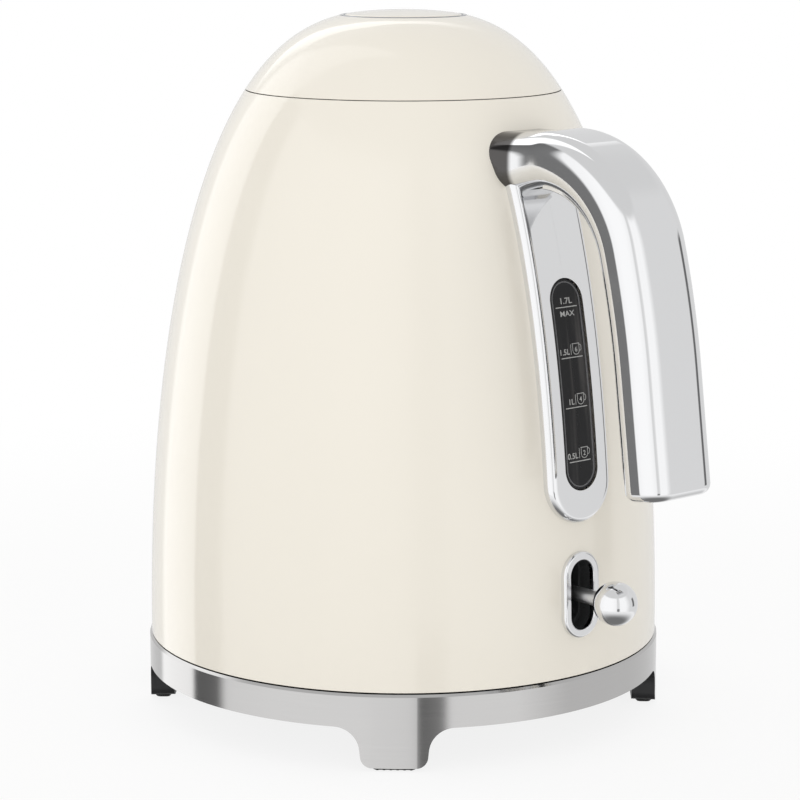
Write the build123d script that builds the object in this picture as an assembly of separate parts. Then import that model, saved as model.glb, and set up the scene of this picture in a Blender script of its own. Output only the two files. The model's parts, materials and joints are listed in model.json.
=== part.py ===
from build123d import *
import math
import os

# Electric kettle on a swivelling power base. Millimetres, floor at Z = 0, kettle axis on Z.
# The handle points along +X and the pouring beak along -X.

# Dome of the body and lid
KETTLE_HEIGHT = 248.0  # floor to the crown of the lid button
BODY_RADIUS = 91.0  # body at its foot
DOME_RISE_POWER = 2.1  # how late the wall leaves the vertical
DOME_CROWN_POWER = 2.85  # how full the shoulder is
BODY_WALL = 1.2
LID_HEIGHT = 27.6  # crown down to the middle of the lid seam
SEAM_GAP = 0.8
RIM_ROUND = 0.55  # rounding of the sheet's edges at the seam

# Clearances
SLIP = 0.2  # close fit between two fixed pieces
PLAY = 0.4  # loose fit between pieces that part or slide
HEAD_ROOM = 1.0  # air left between stacked pieces
RUNNING_GAP = 0.05  # pins in their holes
OVERCUT = 1.0  # how far a cut runs past the face it opens

# Power base
BASE_PROUD = 0.7  # ring beyond the body
FOOT_HEIGHT = 15.0  # floor to the underside of the ring
BAND_HEIGHT = 11.6  # height of the ring itself
RING_WALL = 3.0
RING_BEVEL = 0.8
BASE_TURN = 2.0  # how far the base stands turned under the kettle, in degrees
LEG_COUNT = 4
LEG_WIDTH = 22.0  # at the floor
LEG_SPREAD = 25.0  # at the ring, before the ogee
LEG_OGEE = 8.5
LEG_CORNER = 4.0
LEG_DEPTH = 9.0
PAD_WIDTH = 15.0
PAD_DEPTH = 5.6
PAD_PROUD = 1.2
PAD_RECESS = 1.6
DECK_DROP = 2.1  # ring top down to the deck
DECK_THICKNESS = 2.0
LEDGE_WIDTH = 4.2
SKIRT_INSET = 10.2  # ring's face in to the skirt
SKIRT_WALL = 2.0
COVER_THICKNESS = 2.0
WINDER_RADIUS = 42.0
WINDER_WALL = 2.0
WINDER_HEIGHT = 8.4
WINDER_LIP = 9.0
LIP_COUNT = 4
BASE_SCREW_COUNT = 4
BASE_SCREW_INSET = 17.5  # skirt in to the screws
BOSS_RADIUS = 4.0
GLAND_BORE = 3.5
GLAND_RADIUS = 5.0
GLAND_LENGTH = 22.0
GLAND_HEIGHT = 6.6  # floor to the gland's axis
GLAND_COLLAR = 0.9
GLAND_INSET = 5.5  # skirt in to the gland's block
GLAND_SEAT = 8.8  # start of the block to the gland's seat
LEAD_SLACK = 0.6  # passage round the lead, beyond the gland's bore
GLAND_TAPER = 0.8

# Round connector between base and kettle
CONNECTOR_RADIUS = 14.2
CONNECTOR_HEIGHT = 15.5  # above the deck
CONNECTOR_FLANGE = 4.0
CONTACT_WELL = 4.2
CONTACT_PIN = 1.6
CONTACT_SLEEVE = 8.0
SLEEVE_WALL = 0.8
SLEEVE_GROOVE = 2.8
CONTACT_DEPTH = 10.0
CONTACT_DROP = 1.5  # contact tips below the connector's top
CONNECTOR_BEVEL = 1.2
FLANGE_SHEET = 2.5
SOCKET_RADIUS = 20.0
SOCKET_COLLAR = 2.2
SOCKET_COLLAR_HEIGHT = 8.0
SOCKET_ROOF = 3.0
TONGUE_WALL = 0.9

# Dry compartment
BOTTOM_CLEARANCE = 0.3  # kettle bottom above the deck
RIDE_GAP = 0.6  # line of shadow between ring and body
DRY_HEIGHT = 49.3  # body's foot up to the vessel floor
ELEMENT_SHEET = 1.5
ELEMENT_RIM = 7.0
SEAL_WALL = 2.6
SPREADER_GAP = 1.0  # spreader to the steam tube
SPREADER_THICKNESS = 3.0
HEATER_INSET = 10.0  # spreader's edge in to the heater's middle
HEATER_WIDTH = 7.0
HEATER_HEIGHT = 6.5
HEATER_ARC = 300.0
COLD_PIN = 1.4
COLD_PIN_LENGTH = 9.0
COLD_PIN_INSET = 6.0  # from the element's end, in degrees
CONTROL_RADIUS = 26.0
CONTROL_HEIGHT = 15.0
CONTROL_BEVEL = 1.5
PILLAR_RADIUS = 3.0
PILLAR_CIRCLE = 20.0
PILLAR_COUNT = 3
BIMETAL_RADIUS = 10.0
BIMETAL_SHEET = 0.6
BIMETAL_DISH = 1.2
STEAM_TUBE_RADIUS = 5.0
STEAM_TUBE_WALL = 1.0
STEAM_CUP_WALL = 2.2
STEAM_CUP_FLOOR = 3.0
STEAM_CUP_DEPTH = 6.0
STEAM_TUBE_INSET = 11.35  # body at the mouth ring in to the tube's axis
STEAM_TUBE_ANGLE = -49.0
BOTTOM_RIM = 6.0
BOTTOM_RIM_WALL = 4.0
STUD_INSET = 21.0  # body's foot in to the studs
STUD_ANGLES = (60, 180, 300)
STUD_RADIUS = 4.5
STUD_LENGTH = 12.0
SCREW_SHANK = 1.6
SCREW_HEAD = 3.0
SCREW_HEAD_HEIGHT = 1.6
SCREW_GRIP = 8.0

# Level window and backplate
PLATE_WIDTH = 28.0
PLATE_GAP = 9.85  # lever bezel up to the plate
PLATE_RISE = 3.6  # arm's axis up to the plate's top
PLATE_PROUD = 3.0
PLATE_BEVEL = 2.7
LENS_WIDTH = 15.0
LENS_HEIGHT = 70.8
LENS_INSET = 11.3  # plate's lower end up to the lens
LENS_SUNK = 0.5  # lens face below the plate's face
LENS_GAP = 0.15
NECK_LEDGE = 1.8  # lens edge in to its neck through the wall
NECK_DEPTH = 3.4
GASKET_WALL = 1.6
GASKET_FLANGE = 3.0

# Handle
ARM_DROP = 18.0  # lid seam down to the arm's axis
ARM_LENGTH = 16.5  # body out to where the bend starts
HANDLE_WIDTH = 29.8
HANDLE_THICKNESS = 18.5
HANDLE_CORNER = 7.5
BEND_RADIUS = 37.4
BEND_ANGLE = 74.3
LEAN_RADIUS = 283.0
LEAN_ANGLE = 8.1
HANDLE_STOP = 15.5  # plate's lower end up to the handle's end
HANDLE_END_ROUND = 3.5
ROOT_FLARE = 4.6  # how far the root spreads on each side
ROOT_LENGTH = 26.0
ROOT_POWER = 2.2  # how late the root spreads
ROOT_DIP = 6.0  # how far the root drops towards the body
ROOT_DIP_POWER = 1.4
STRIP_WIDTH = 21.0
STRIP_DEPTH = 3.0
STRIP_PROUD = 0.7
STRIP_ROUND = 0.6
STRIP_SEAM = 0.15
STRIP_END = 7.0  # strip's end above the handle's end
HOLLOW_WIDTH = 15.0
HOLLOW_DEPTH = 8.0
HOLLOW_CORNER = 1.5
HANDLE_SCREW_SPREAD = 7.0
HANDLE_SCREW_DROP = 2.0
HANDLE_SCREW_SHANK = 1.9
HANDLE_SCREW_HEAD = 3.4
HANDLE_SCREW_HEIGHT = 2.4
HANDLE_SCREW_REACH = 16.0

# Switch lever
LEVER_RISE = 28.1  # body's foot up to the lever
SLOT_HEIGHT = 24.0
SLOT_WIDTH = 10.5
BEZEL_RIM = 2.85
BEZEL_PROUD = 1.7
BEZEL_ROUND = 0.9
LINER_WALL = 1.0
LINER_STEP = 0.9
LINER_DEPTH = 8.0
LINER_FRONT = 5.0
PIVOT_INSET = 25.0  # body's foot radius in to the pivot
PIVOT_RADIUS = 2.0
HUB_RADIUS = 5.0
HUB_WIDTH = 11.0
CHEEK_GAP = 0.5
CHEEK_WALL = 2.0
CHEEK_WIDTH = 16.0
BRACKET_FOOT = 2.0
TAIL_GAP = 4.0  # thermostat control to the rocker's tail
TAIL_WIDTH = 6.0
TAIL_HEIGHT = 5.0
STEM_THIN = 2.0
STEM_THICK = 2.7
STEM_SOCKET = 3.4
STEM_SOCKET_LENGTH = 6.0
KNOB_RADIUS = 7.5
KNOB_STANDOFF = 16.6  # body's foot radius out to the ball
KNOB_BITE = 3.5

# Beak and filter
BEAK_DROP_LOW = 46.0  # lid seam down to the beak's foot
BEAK_DROP_TOP = 4.0
BEAK_REACH = 20.0  # nose beyond the body at the lip
BEAK_POWER = 1.4  # how late the nose leaves the body
BEAK_NOSE = 7.0
BEAK_LEAN = 32.0  # half angle of the flanks behind the nose
BEAK_SPREAD = 27.0  # half angle of the body that the flanks run out over
BEAK_SINK = 0.8  # flank ends below the body's face
BEAK_WALL = 1.2
BEAK_TILT = 7.0
BEAK_BEHIND = 2.7  # flank ends in to the back of the beak's channel
FILTER_INSET = 9.35  # body at the mouth ring in to the filter
FILTER_WIDTH = 38.0
FILTER_HEIGHT = 26.5
FILTER_THICKNESS = 2.4
FILTER_BORDER = 3.0
MESH_SHEET = 0.5
MESH_BITE = 0.6
MESH_COLUMNS = 13
MESH_ROWS = 8
MESH_WIRE = 0.7
TRUNNION_RADIUS = 1.2
TRUNNION_RISE = 2.0
TRUNNION_LENGTH = 3.0
POST_GAP = 0.6
POST_WALL = 3.0
POST_DEPTH = 6.0
POST_TAIL = 3.0

# Mouth, lid, latch and hinge
MOUTH_LAND = 15.75  # body at the mouth ring in to the mouth
MOUTH_DROP = 6.7  # body rim down to the mouth ring
MOUTH_THICKNESS = 3.0
CATCH_SET_BACK = 2.2  # mouth out to the catch
CATCH_DEPTH = 5.0
CATCH_WIDTH = 14.0
CATCH_LIP = 1.2
LINER_LIFT = 0.2  # lid edge up to the liner
LINER_SHEET = 1.6
HINGE_INSET = 14.3  # seam circle in to the hinge axis
HINGE_RISE = 9.6  # seam up to the hinge axis
HINGE_PIN = 1.2
HINGE_PIN_LENGTH = 28.0
LUG_RADIUS = 2.4
LUG_WIDTH = 2.4
NECK_WIDTH = 10.0  # swan neck, along the pin
NECK_RADIUS = 2.4
NECK_SWING = 12.0
NECK_FALL = 16.0
NECK_LAND = 8.0  # how far the neck's foot lies under the mouth ring
HINGE_GAP = 1.6  # each side of the swan neck
ARM_RAIL = 2.0
ARM_RAIL_LENGTH = 19.2
SPRING_WIRE = 0.7
SPRING_PITCH = 1.2
SPRING_TURNS = 3
BUTTON_RADIUS = 20.5
BUTTON_GAP = 0.35
BUTTON_WALL = 2.2
BUTTON_SKIRT = 7.0
BUTTON_ROUND = 0.8
BUTTON_TRAVEL = 3.0
STEM_RADIUS = 4.3
COLLAR_WALL = 1.5
COLLAR_HEIGHT = 8.5
COLLAR_FLANGE = 3.5
COLLAR_SHEET = 1.4
COLLAR_PROUD = 0.25
BRIDGE_RADIUS = 13.0
BRIDGE_SHEET = 1.5
BRIDGE_LEG = 2.5
COIL_RADIUS = 7.5
COIL_WIRE = 1.0
COIL_TURNS = 5
BOLT_THICKNESS = 2.5
BOLT_WIDTH = 8.0
BOLT_EYE = 4.8
BOLT_EYE_WALL = 3.6
BOLT_LIFT = 0.3
BOLT_LEG = 3.0
BOLT_LEG_INSET = 5.0  # mouth in to the bolt's leg
BOLT_BITE = 2.0  # nose past the catch's face
BOLT_RISE = 2.3  # mouth ring up to the bolt's nose

# Heights and radii worked out from the sizes above
BASE_RADIUS = BODY_RADIUS + BASE_PROUD
SKIRT_RADIUS = BASE_RADIUS - SKIRT_INSET
BASE_SCREW_CIRCLE = SKIRT_RADIUS - BASE_SCREW_INSET
STUD_CIRCLE = BODY_RADIUS - STUD_INSET
PIVOT_REACH = BODY_RADIUS - PIVOT_INSET
KNOB_REACH = BODY_RADIUS + KNOB_STANDOFF
RING_TOP = FOOT_HEIGHT + BAND_HEIGHT
BODY_FOOT = RING_TOP + RIDE_GAP
SEAM = KETTLE_HEIGHT - LID_HEIGHT
RIM_TOP = SEAM - SEAM_GAP / 2
LID_EDGE = SEAM + SEAM_GAP / 2
RING_BORE = BASE_RADIUS - RING_WALL
DECK_TOP = RING_TOP - DECK_DROP
DECK_UNDER = DECK_TOP - DECK_THICKNESS
BOTTOM_UNDER = DECK_TOP + BOTTOM_CLEARANCE
ARM_HEIGHT = SEAM - ARM_DROP
LEVER_HEIGHT = BODY_FOOT + LEVER_RISE
PLATE_LOW = LEVER_HEIGHT + SLOT_HEIGHT / 2 + BEZEL_RIM + PLATE_GAP
PLATE_TOP = ARM_HEIGHT + PLATE_RISE
LENS_MIDDLE = PLATE_LOW + LENS_INSET + LENS_HEIGHT / 2
HANDLE_END = PLATE_LOW + HANDLE_STOP
MOUTH_TOP = RIM_TOP - MOUTH_DROP
MOUTH_UNDER = MOUTH_TOP - MOUTH_THICKNESS
COVER_TOP = FOOT_HEIGHT
COVER_UNDER = COVER_TOP - COVER_THICKNESS
CONNECTOR_TOP = DECK_TOP + CONNECTOR_HEIGHT
SOCKET_UNDER_ROOF = CONNECTOR_TOP + HEAD_ROOM
SOCKET_TOP = SOCKET_UNDER_ROOF + SOCKET_ROOF
CONTROL_UNDER = SOCKET_TOP + HEAD_ROOM
CONTROL_TOP = CONTROL_UNDER + CONTROL_HEIGHT
ELEMENT_TOP = BODY_FOOT + DRY_HEIGHT
ELEMENT_UNDER = ELEMENT_TOP - ELEMENT_SHEET
SPREADER_UNDER = ELEMENT_UNDER - SPREADER_THICKNESS
STUD_BOTTOM = ELEMENT_UNDER - STUD_LENGTH
STEAM_SEAT = CONTROL_UNDER + CONTROL_HEIGHT / 2
LINER_UNDER = LID_EDGE + LINER_LIFT
LINER_TOP = LINER_UNDER + LINER_SHEET
HINGE_Z = SEAM + HINGE_RISE
NOSE_LOW = MOUTH_TOP + BOLT_RISE
BOLT_LOW = LINER_TOP + BOLT_LIFT
BOLT_TOP = BOLT_LOW + BOLT_THICKNESS
BRIDGE_UNDER = BOLT_TOP + BUTTON_TRAVEL + 2 * BOLT_LIFT
BRIDGE_TOP = BRIDGE_UNDER + BRIDGE_SHEET
COLLAR_BORE = BUTTON_RADIUS + BUTTON_GAP
LID_HOLE = COLLAR_BORE + COLLAR_WALL
TRUNNION_Z = MOUTH_UNDER - 2 * PLAY - FILTER_HEIGHT + TRUNNION_RISE

BOTTOM = (Align.CENTER, Align.CENTER, Align.MIN)
CORNER = (Align.MIN, Align.MIN, Align.MIN)


# The dome curve

def outer_radius(z):
    rise = max(0.0, (z - BODY_FOOT) / (KETTLE_HEIGHT - BODY_FOOT))
    return BODY_RADIUS * (1 - rise**DOME_RISE_POWER) ** (1 / DOME_CROWN_POWER)


def outer_slope(z):
    span = KETTLE_HEIGHT - BODY_FOOT
    rise = (z - BODY_FOOT) / span
    if rise <= 0:
        return 0.0
    left = 1 - rise**DOME_RISE_POWER
    steep = DOME_RISE_POWER / DOME_CROWN_POWER * rise ** (DOME_RISE_POWER - 1)
    return -BODY_RADIUS / span * steep * left ** (1 / DOME_CROWN_POWER - 1)


def dome_radius(z, inset=0.0):
    """Radius at height z of the dome curve moved inward along its normal."""
    foot = z
    for _ in range(60):
        slope = outer_slope(foot)
        foot = min(z - inset * slope / math.hypot(1, slope), KETTLE_HEIGHT - 0.02)
    return outer_radius(foot) - inset / math.hypot(1, outer_slope(foot))


def dome_height(radius, inset=0.0):
    """Height at which the moved dome curve has the given radius."""
    low, high = BODY_FOOT, KETTLE_HEIGHT - inset - 0.05
    for _ in range(60):
        middle = (low + high) / 2
        if dome_radius(middle, inset) > radius:
            low = middle
        else:
            high = middle
    return low


def dome_edge(low, high, inset=0.0, spans=14):
    """The dome curve in the XZ plane, with its points closer together towards the crown."""
    heights = [low + (high - low) * math.sin(math.pi / 2 * i / spans) for i in range(spans + 1)]
    step = 0.01
    ends = []
    for z in (low + step, high - step):
        run = dome_radius(z + step, inset) - dome_radius(z - step, inset)
        ends.append(Vector(run, 0, 2 * step).normalized())
    return Spline(*[(dome_radius(z, inset), 0, z) for z in heights], tangents=ends)


def spun(*edges):
    """Solid of revolution about Z, with its closing line on the +Y side."""
    return Rot(0, 0, 90) * revolve(make_face(list(edges)), Axis.Z)


def dome_solid(low, high, inset=0.0):
    side = dome_edge(low, high, inset)
    outline = Polyline(side @ 1, (0, 0, high), (0, 0, low), side @ 0)
    return spun(side, *outline.edges())


# Plain forms

def disc(radius, low, high, x=0.0, y=0.0):
    return Pos(x, y, low) * Cylinder(radius, high - low, align=BOTTOM)


def ring(inner, outer, low, high, x=0.0, y=0.0):
    return disc(outer, low, high, x, y) - disc(inner, low - OVERCUT, high + OVERCUT, x, y)


def block(x0, x1, y0, y1, z0, z1):
    return Pos(x0, y0, z0) * Box(x1 - x0, y1 - y0, z1 - z0, align=CORNER)


def rod_x(x0, x1, z, radius, end_radius=None, y=0.0):
    if end_radius is None:
        bar = Cylinder(radius, x1 - x0, align=BOTTOM)
    else:
        bar = Cone(radius, end_radius, x1 - x0, align=BOTTOM)
    return Pos(x0, y, z) * Rot(0, 90, 0) * bar


def rod_y(y0, y1, x, z, radius, end_radius=None):
    if end_radius is None:
        bar = Cylinder(radius, y1 - y0, align=BOTTOM)
    else:
        bar = Cone(radius, end_radius, y1 - y0, align=BOTTOM)
    return Pos(x, y0, z) * Rot(-90, 0, 0) * bar


def around(shape, count, start=0.0):
    return [Rot(0, 0, start + 360 * i / count) * shape for i in range(count)]


def polar(radius, angle):
    return radius * math.cos(math.radians(angle)), radius * math.sin(math.radians(angle))


def stadium(width, height, middle, x0, x1):
    """Upright stadium in the YZ plane, drawn out along X."""
    outline = Plane.YZ.offset(x0) * Pos(0, middle) * SlotOverall(height, width, rotation=90)
    return extrude(outline, x1 - x0)


def meridian_slab(low, high, proud, half_width, back):
    """Block whose outer face follows the dome's profile, straight across in Y."""
    side = dome_edge(low, high, -proud)
    outline = Polyline(side @ 1, (back, 0, high), (back, 0, low), side @ 0)
    profile = Pos(0, -half_width, 0) * make_face([side, *outline.edges()])
    return extrude(profile, 2 * half_width, dir=(0, 1, 0))


def capsule(start, end, radius, y0, y1):
    """Round-ended bar in the XZ plane, drawn out along Y."""
    run, rise = end[0] - start[0], end[1] - start[1]
    turn = math.degrees(math.atan2(rise, run))
    slot = SlotCenterToCenter(math.hypot(run, rise), 2 * radius, rotation=turn)
    middle = Pos((start[0] + end[0]) / 2, (start[1] + end[1]) / 2)
    return extrude(Plane.XZ.offset(-y1) * middle * slot, y1 - y0)


def level_edges(shape, z):
    return [edge for edge in shape.edges() if abs(edge.center().Z - z) < 1e-4]


def outer_face(shape):
    return max(shape.faces(), key=lambda face: face.center().X)


DOME_OUT = dome_solid(BODY_FOOT, RIM_TOP)
DOME_IN = dome_solid(BODY_FOOT - OVERCUT, RIM_TOP + OVERCUT, BODY_WALL)
LID_IN = dome_solid(LID_EDGE, dome_height(LID_HOLE, BODY_WALL), BODY_WALL)
HINGE_X = outer_radius(SEAM) - HINGE_INSET
ARM_BACK = HINGE_X - ARM_RAIL_LENGTH
ARM_REACH = outer_radius(ARM_HEIGHT) + ARM_LENGTH
MOUTH_RADIUS = outer_radius(MOUTH_TOP) - MOUTH_LAND
CATCH_REACH = MOUTH_RADIUS + CATCH_SET_BACK
BOLT_NOSE = CATCH_REACH + BOLT_BITE
BOLT_LEG_REACH = MOUTH_RADIUS - BOLT_LEG_INSET
FILTER_REACH = outer_radius(MOUTH_UNDER) - FILTER_INSET
STEAM_TUBE_CIRCLE = outer_radius(MOUTH_UNDER) - STEAM_TUBE_INSET
SPREADER_RADIUS = STEAM_TUBE_CIRCLE - STEAM_TUBE_RADIUS - SPREADER_GAP
HEATER_CIRCLE = SPREADER_RADIUS - HEATER_INSET


# Power base

def make_leg():
    half_foot, half_ring = LEG_WIDTH / 2, LEG_SPREAD / 2
    reach = half_ring + 1.2 * LEG_OGEE
    merge = FOOT_HEIGHT + RING_WALL
    right = [(half_foot, PAD_PROUD), (half_ring, FOOT_HEIGHT), (reach, FOOT_HEIGHT), (reach, merge)]
    left = [(-x, z) for x, z in reversed(right)]
    outline = Polygon(*right, *left, align=None)
    inner = [v for v in outline.vertices() if abs(abs(v.X) - half_ring) < 1e-4]
    outline = fillet(inner, LEG_OGEE)
    feet = [v for v in outline.vertices() if v.Y < PAD_PROUD + 1e-4]
    outline = fillet(feet, LEG_CORNER)
    leg = extrude(Plane.YZ.offset(BASE_RADIUS - LEG_DEPTH) * outline, LEG_DEPTH + OVERCUT)
    return leg & disc(BASE_RADIUS, 0, RING_TOP)


def pad_outline():
    return Pos(BASE_RADIUS - LEG_DEPTH / 2) * RectangleRounded(PAD_DEPTH, PAD_WIDTH, PAD_DEPTH / 3)


def leg_angles():
    return 180 / LEG_COUNT + BASE_TURN


def make_base_ring():
    band = ring(RING_BORE, BASE_RADIUS, FOOT_HEIGHT, RING_TOP)
    band = chamfer(max(level_edges(band, RING_TOP), key=lambda edge: edge.length), RING_BEVEL)
    inside, middle = RING_BORE - LEDGE_WIDTH, BASE_RADIUS - RING_WALL / 2
    ledge = ring(inside, middle, DECK_UNDER - DECK_THICKNESS, DECK_UNDER)
    pocket = extrude(Pos(0, 0, PAD_PROUD - OVERCUT) * pad_outline(), PAD_RECESS + OVERCUT)
    legs = around(make_leg() - pocket, LEG_COUNT, leg_angles())
    return band + ledge + legs


def make_foot_pads():
    pad = extrude(pad_outline(), PAD_PROUD + PAD_RECESS)
    pad = chamfer(level_edges(pad, 0), PAD_PROUD / 3)
    return around(pad, LEG_COUNT, leg_angles())


def base_screw_places():
    step = 360 / BASE_SCREW_COUNT
    return [polar(BASE_SCREW_CIRCLE, step * (i + 0.5)) for i in range(BASE_SCREW_COUNT)]


def make_base_deck():
    deck = disc(RING_BORE - SLIP, DECK_UNDER, DECK_TOP)
    deck = chamfer(level_edges(deck, DECK_TOP), DECK_THICKNESS / 4)
    deck += ring(SKIRT_RADIUS - SKIRT_WALL, SKIRT_RADIUS, COVER_TOP, DECK_UNDER)
    for x, y in base_screw_places():
        deck += disc(BOSS_RADIUS, COVER_TOP, DECK_UNDER, x, y)
        deck -= disc(SCREW_SHANK, COVER_TOP - OVERCUT, DECK_UNDER - HEAD_ROOM, x, y)
    return deck - disc(CONNECTOR_RADIUS, DECK_UNDER - OVERCUT, DECK_TOP + OVERCUT)


def gland_block_reach():
    return SKIRT_RADIUS - GLAND_INSET


def make_base_bottom_cover():
    cover = disc(SKIRT_RADIUS, COVER_UNDER, COVER_TOP)
    low = COVER_UNDER - WINDER_HEIGHT
    cover += ring(WINDER_RADIUS - WINDER_WALL, WINDER_RADIUS, low, COVER_UNDER)
    lip = ring(WINDER_RADIUS - WINDER_WALL, WINDER_RADIUS + WINDER_LIP, low, low + WINDER_WALL)
    tab = lip & block(0, SKIRT_RADIUS, -WINDER_LIP, WINDER_LIP, 0, COVER_UNDER)
    for piece in around(tab, LIP_COUNT, 180 / LIP_COUNT):
        cover += piece
    half = GLAND_RADIUS + GLAND_COLLAR
    start, end = gland_block_reach() - GLAND_LENGTH, gland_block_reach()
    cover += block(-half, half, start, end, GLAND_HEIGHT - half, COVER_UNDER)
    seat = start + GLAND_SEAT
    cover -= rod_y(seat, end + OVERCUT, 0, GLAND_HEIGHT, GLAND_RADIUS)
    turn = (start + seat) / 2
    passage = GLAND_BORE + LEAD_SLACK
    cover -= rod_y(turn, seat + OVERCUT, 0, GLAND_HEIGHT, passage)
    cover -= disc(passage, GLAND_HEIGHT, COVER_TOP + OVERCUT, 0, turn)
    for x, y in base_screw_places():
        cover -= disc(SCREW_SHANK + SLIP / 2, COVER_UNDER - OVERCUT, COVER_TOP + OVERCUT, x, y)
    return cover


def make_cord_gland():
    end = gland_block_reach()
    seat = end - GLAND_LENGTH + GLAND_SEAT
    collar_end = end + 2 * GLAND_COLLAR
    nose_end = collar_end + GLAND_LENGTH / 3
    gland = rod_y(seat, collar_end, 0, GLAND_HEIGHT, GLAND_RADIUS)
    gland += rod_y(end, collar_end, 0, GLAND_HEIGHT, GLAND_RADIUS + GLAND_COLLAR)
    gland += rod_y(collar_end, nose_end, 0, GLAND_HEIGHT, GLAND_RADIUS, GLAND_RADIUS - GLAND_TAPER)
    return gland - rod_y(seat - OVERCUT, nose_end + OVERCUT, 0, GLAND_HEIGHT, GLAND_BORE)


def make_base_screws():
    screws = []
    for x, y in base_screw_places():
        screw = disc(SCREW_SHANK - RUNNING_GAP, COVER_UNDER, DECK_UNDER - 1.5 * HEAD_ROOM, x, y)
        screws.append(screw + disc(SCREW_HEAD, COVER_UNDER - SCREW_HEAD_HEIGHT, COVER_UNDER, x, y))
    return screws


def make_base_connector():
    hub = disc(CONNECTOR_RADIUS, DECK_UNDER, CONNECTOR_TOP)
    hub = chamfer(level_edges(hub, CONNECTOR_TOP), CONNECTOR_BEVEL)
    hub += disc(CONNECTOR_RADIUS + CONNECTOR_FLANGE, DECK_UNDER - FLANGE_SHEET, DECK_UNDER)
    floor = CONNECTOR_TOP - CONTACT_DEPTH
    top = CONNECTOR_TOP + OVERCUT
    hub -= disc(CONTACT_WELL, floor, top)
    return hub - ring(CONTACT_SLEEVE, CONTACT_SLEEVE + SLEEVE_GROOVE, floor, top)


def make_base_contacts():
    floor = CONNECTOR_TOP - CONTACT_DEPTH
    tip = CONNECTOR_TOP - CONTACT_DROP
    pin = disc(CONTACT_PIN, floor, tip)
    return [pin, ring(CONTACT_SLEEVE, CONTACT_SLEEVE + SLEEVE_WALL, floor, tip)]


def make_connector_socket():
    bore = CONNECTOR_RADIUS + PLAY
    socket = disc(SOCKET_RADIUS, BOTTOM_UNDER, SOCKET_TOP)
    socket -= disc(bore, BOTTOM_UNDER - OVERCUT, SOCKET_UNDER_ROOF)
    socket = chamfer(level_edges(socket, BOTTOM_UNDER), 2 * PLAY)
    low = CONNECTOR_TOP - CONTACT_DEPTH + 2 * HEAD_ROOM
    pin_bore = CONTACT_PIN + PLAY
    socket += ring(pin_bore, pin_bore + TONGUE_WALL, low, SOCKET_UNDER_ROOF)
    sleeve_bore = CONTACT_SLEEVE + SLEEVE_WALL + PLAY
    return socket + ring(sleeve_bore, sleeve_bore + TONGUE_WALL, low, SOCKET_UNDER_ROOF)


# Dry compartment of the kettle

def stud_places():
    return [polar(STUD_CIRCLE, angle) for angle in STUD_ANGLES]


def make_bottom_cover():
    low = BOTTOM_UNDER - OVERCUT
    cover = disc(RING_BORE - HEAD_ROOM, BOTTOM_UNDER, BODY_FOOT)
    rim = disc(BODY_RADIUS, BODY_FOOT, BODY_FOOT + BOTTOM_RIM) & DOME_IN
    inside = BODY_RADIUS - BODY_WALL - BOTTOM_RIM_WALL
    cover += rim - disc(inside, BODY_FOOT - OVERCUT, BODY_FOOT + BOTTOM_RIM + OVERCUT)
    hole = SOCKET_RADIUS + PLAY
    collar_top = BODY_FOOT + SOCKET_COLLAR_HEIGHT
    cover += disc(hole + SOCKET_COLLAR, BODY_FOOT, collar_top)
    cover -= disc(hole, low, collar_top + OVERCUT)
    for x, y in stud_places():
        cover += disc(STUD_RADIUS, BODY_FOOT, STUD_BOTTOM, x, y)
        cover -= disc(SCREW_SHANK + SLIP / 2, low, STUD_BOTTOM + OVERCUT, x, y)
        cover -= disc(SCREW_HEAD + SLIP, low, bottom_screw_seat(), x, y)
    return cover


def bottom_screw_seat():
    return BOTTOM_UNDER + SCREW_HEAD_HEIGHT + SLIP / 2


def make_bottom_screws():
    seat = bottom_screw_seat()
    screws = []
    for x, y in stud_places():
        head = disc(SCREW_HEAD, seat - SCREW_HEAD_HEIGHT, seat, x, y)
        screws.append(head + disc(SCREW_SHANK - RUNNING_GAP, seat, STUD_BOTTOM + SCREW_GRIP, x, y))
    return screws


def element_radius():
    return dome_radius(ELEMENT_TOP, BODY_WALL) - SEAL_WALL


def steam_place():
    return polar(STEAM_TUBE_CIRCLE, STEAM_TUBE_ANGLE)


def make_element_plate():
    outer = element_radius()
    plate = disc(outer, ELEMENT_UNDER, ELEMENT_TOP)
    plate += ring(outer - ELEMENT_SHEET, outer, ELEMENT_TOP - ELEMENT_RIM, ELEMENT_TOP)
    for x, y in stud_places():
        plate += disc(STUD_RADIUS, STUD_BOTTOM, ELEMENT_UNDER, x, y)
        plate -= disc(SCREW_SHANK, STUD_BOTTOM - OVERCUT, STUD_BOTTOM + SCREW_GRIP + HEAD_ROOM, x, y)
    return plate - disc(STEAM_TUBE_RADIUS, ELEMENT_UNDER - OVERCUT, ELEMENT_TOP + OVERCUT, *steam_place())


def make_element_seal():
    low = ELEMENT_TOP - ELEMENT_RIM
    outside = disc(BODY_RADIUS, low, ELEMENT_TOP) & DOME_IN
    return outside - disc(element_radius(), low - OVERCUT, ELEMENT_TOP + OVERCUT)


def make_heat_spreader():
    plate = disc(SPREADER_RADIUS, SPREADER_UNDER, ELEMENT_UNDER)
    return chamfer(level_edges(plate, SPREADER_UNDER), SPREADER_THICKNESS / 3)


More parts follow.
